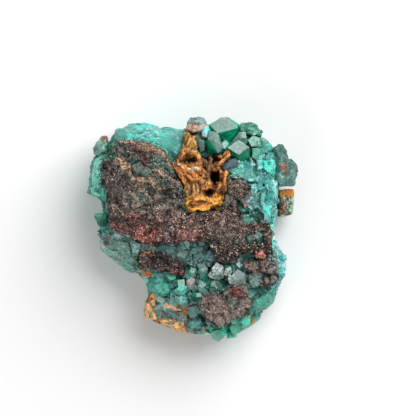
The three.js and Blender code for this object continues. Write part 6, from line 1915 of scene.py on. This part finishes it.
CLEAR_OF = [((-2.9, -15), 1.6), ((7, -11), 2.1), ((10.4, -11.2), 1.3), ((11, -13.4), 1.2),
            ((13.2, -12.6), 2.2), ((6.8, -15.2), 1.3),
            ((-2.7, -6.5), 1.7), ((-0.3, -14.3), 1.5), ((1.9, -4.9), 1.3), ((-6.2, -5.4), 1.4),
            ((7, -30.2), 2.6)]
print("fields:", len(FIELDS))

# %% Scatter the blocks

block_green = stone("dioptase_blocks", (0.05, 0.30, 0.22, 1), 0.2, 0.04, 0.35, (0.15, 0.4), 0.86)
random = np.random.default_rng(31)
for name, (outline, count, sizes, rise, greens, veil, share) in FIELDS.items():
    low, high = np.min(outline, axis=0), np.max(outline, axis=0)
    spots = random.uniform(low, high, (8 * count, 2))
    free = [np.hypot(*(spots - middle).T) > reach for middle, reach in CLEAR_OF]
    on_rock = (inside(spots, outline) > 0) & (read(rock_map, spots) > LOWEST_BLOCK)
    spots = spots[on_rock & np.all(free, axis=0)][:count]
    count = len(spots)
    size = random.uniform(*sizes, (count, 1)) * random.uniform(0.85, 1.15, (count, 3))
    at = np.column_stack([spots, read(rock_map, spots) + rise * size[:, 0] * random.uniform(0.3, 1.2, count)])
    points, faces = copies(*(RHOMB if name in SQUARE else PRISM), at, turned(count, random, 0.22), size)
    a, b, c = (points[faces[:, i]] for i in range(3))
    up = np.cross(b - a, c - a)
    up = (up / np.linalg.norm(up, axis=1, keepdims=True))[:, 2].reshape(count, -1, 1)
    green = np.array([linear(g) for g in greens])[random.integers(len(greens), size=count)][:, None]
    shown = (random.random(count) < share) * random.uniform(0.5, 1, count)
    # level faces get the pale veil colour, partly a painted reflection
    veiled = ramp(up, 0.62, 0.8) * shown[:, None, None]
    # painted light: a face is lighter the more it looks up
    tint = green * random.uniform(0.75, 1.25, (count, 1, 1)) * (1 + 0.35 * ramp(up, 0.2, 0.9))
    tint = tint * (1 - veiled) + linear(veil) * veiled * random.uniform(0.8, 1.15, (count, 1, 1))
    place("blocks_" + name, points, [faces], block_green, "green_rock", (),
          np.repeat(tint.reshape(-1, 3), 3, axis=0), smooth=False)

# %% [markdown]
# ## Floor, light and camera
#
# A specimen lies on pale paper under a broad soft light from the upper right, with a weaker one low at the
# other side, so that its far walls aren't black. The camera looks straight down from far away, so heights
# hardly shift what lies below them.

# %% Floor and lights

FLOOR_HALF = 1000.0  # half the floor's side in mm
SKY_LIGHT = 0.16
LIGHTS = [  # name, place and side in mm, power in W
    ("key", (290, 335, 480), 560, 5.3),
    ("overhead", (0, 0, 800), 800, 0.5),
    ("fill", (-300, -280, 300), 480, 1.15),
]
floor_points = FLOOR_HALF * np.array([(-1, -1, 0), (1, -1, 0), (1, 1, 0), (-1, 1, 0)])
floor = bpy.data.objects.new("floor", mesh_of("floor", floor_points, [np.array([[0, 1, 2, 3]])]))
paper = Shader("pale_floor")
paper_grain = paper.bump(paper.noise(1.0), 0.02)
floor.data.materials.append(paper.surface((0.9, 0.9, 0.9, 1), 0.85, paper_grain))
bpy.context.collection.objects.link(floor)
floor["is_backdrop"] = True

world = bpy.data.worlds.new("studio")
bpy.context.scene.world = world
world.use_nodes = True
sky = world.node_tree.nodes["Background"].inputs
sky["Color"].default_value = (1, 1, 1, 1)
sky["Strength"].default_value = SKY_LIGHT


def softbox(name, position, size, power):
    """A square light of `size` mm at a position in mm, turned to the specimen."""
    light = bpy.data.lights.new(name, "AREA")
    light.size = size * MM
    light.energy = power
    lamp = bpy.data.objects.new(name, light)
    lamp.location = Vector(position) * MM
    lamp.rotation_euler = (-lamp.location).to_track_quat("-Z", "Y").to_euler()
    lamp.visible_camera = False
    bpy.context.collection.objects.link(lamp)


for light in LIGHTS:
    softbox(*light)
print("lights:", [name for name, *_ in LIGHTS])

# %% Camera

FOCAL_LENGTH = 300.0
SENSOR = 36.0
FRAME_WIDTH = 117.4  # mm across the view, at the height of the aim
AIM = (4.5, 6.1, 19.0)
camera_data = bpy.data.cameras.new("camera")
camera_data.lens = FOCAL_LENGTH
camera_data.sensor_width = SENSOR
camera_data.clip_start = 0.01
camera = bpy.data.objects.new("camera", camera_data)
camera.location = Vector((AIM[0], AIM[1], AIM[2] + FRAME_WIDTH * FOCAL_LENGTH / SENSOR)) * MM
bpy.context.collection.objects.link(camera)
bpy.context.scene.camera = camera
bpy.context.scene.view_settings.view_transform = "Standard"
print("camera height in m:", round(camera.location.z, 3))

# %% The finished specimen's size

visual_box = [[float(v) for v in corner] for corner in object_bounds()]
print("visual box in mm:", [[round(v / MM, 1) for v in corner] for corner in visual_box])
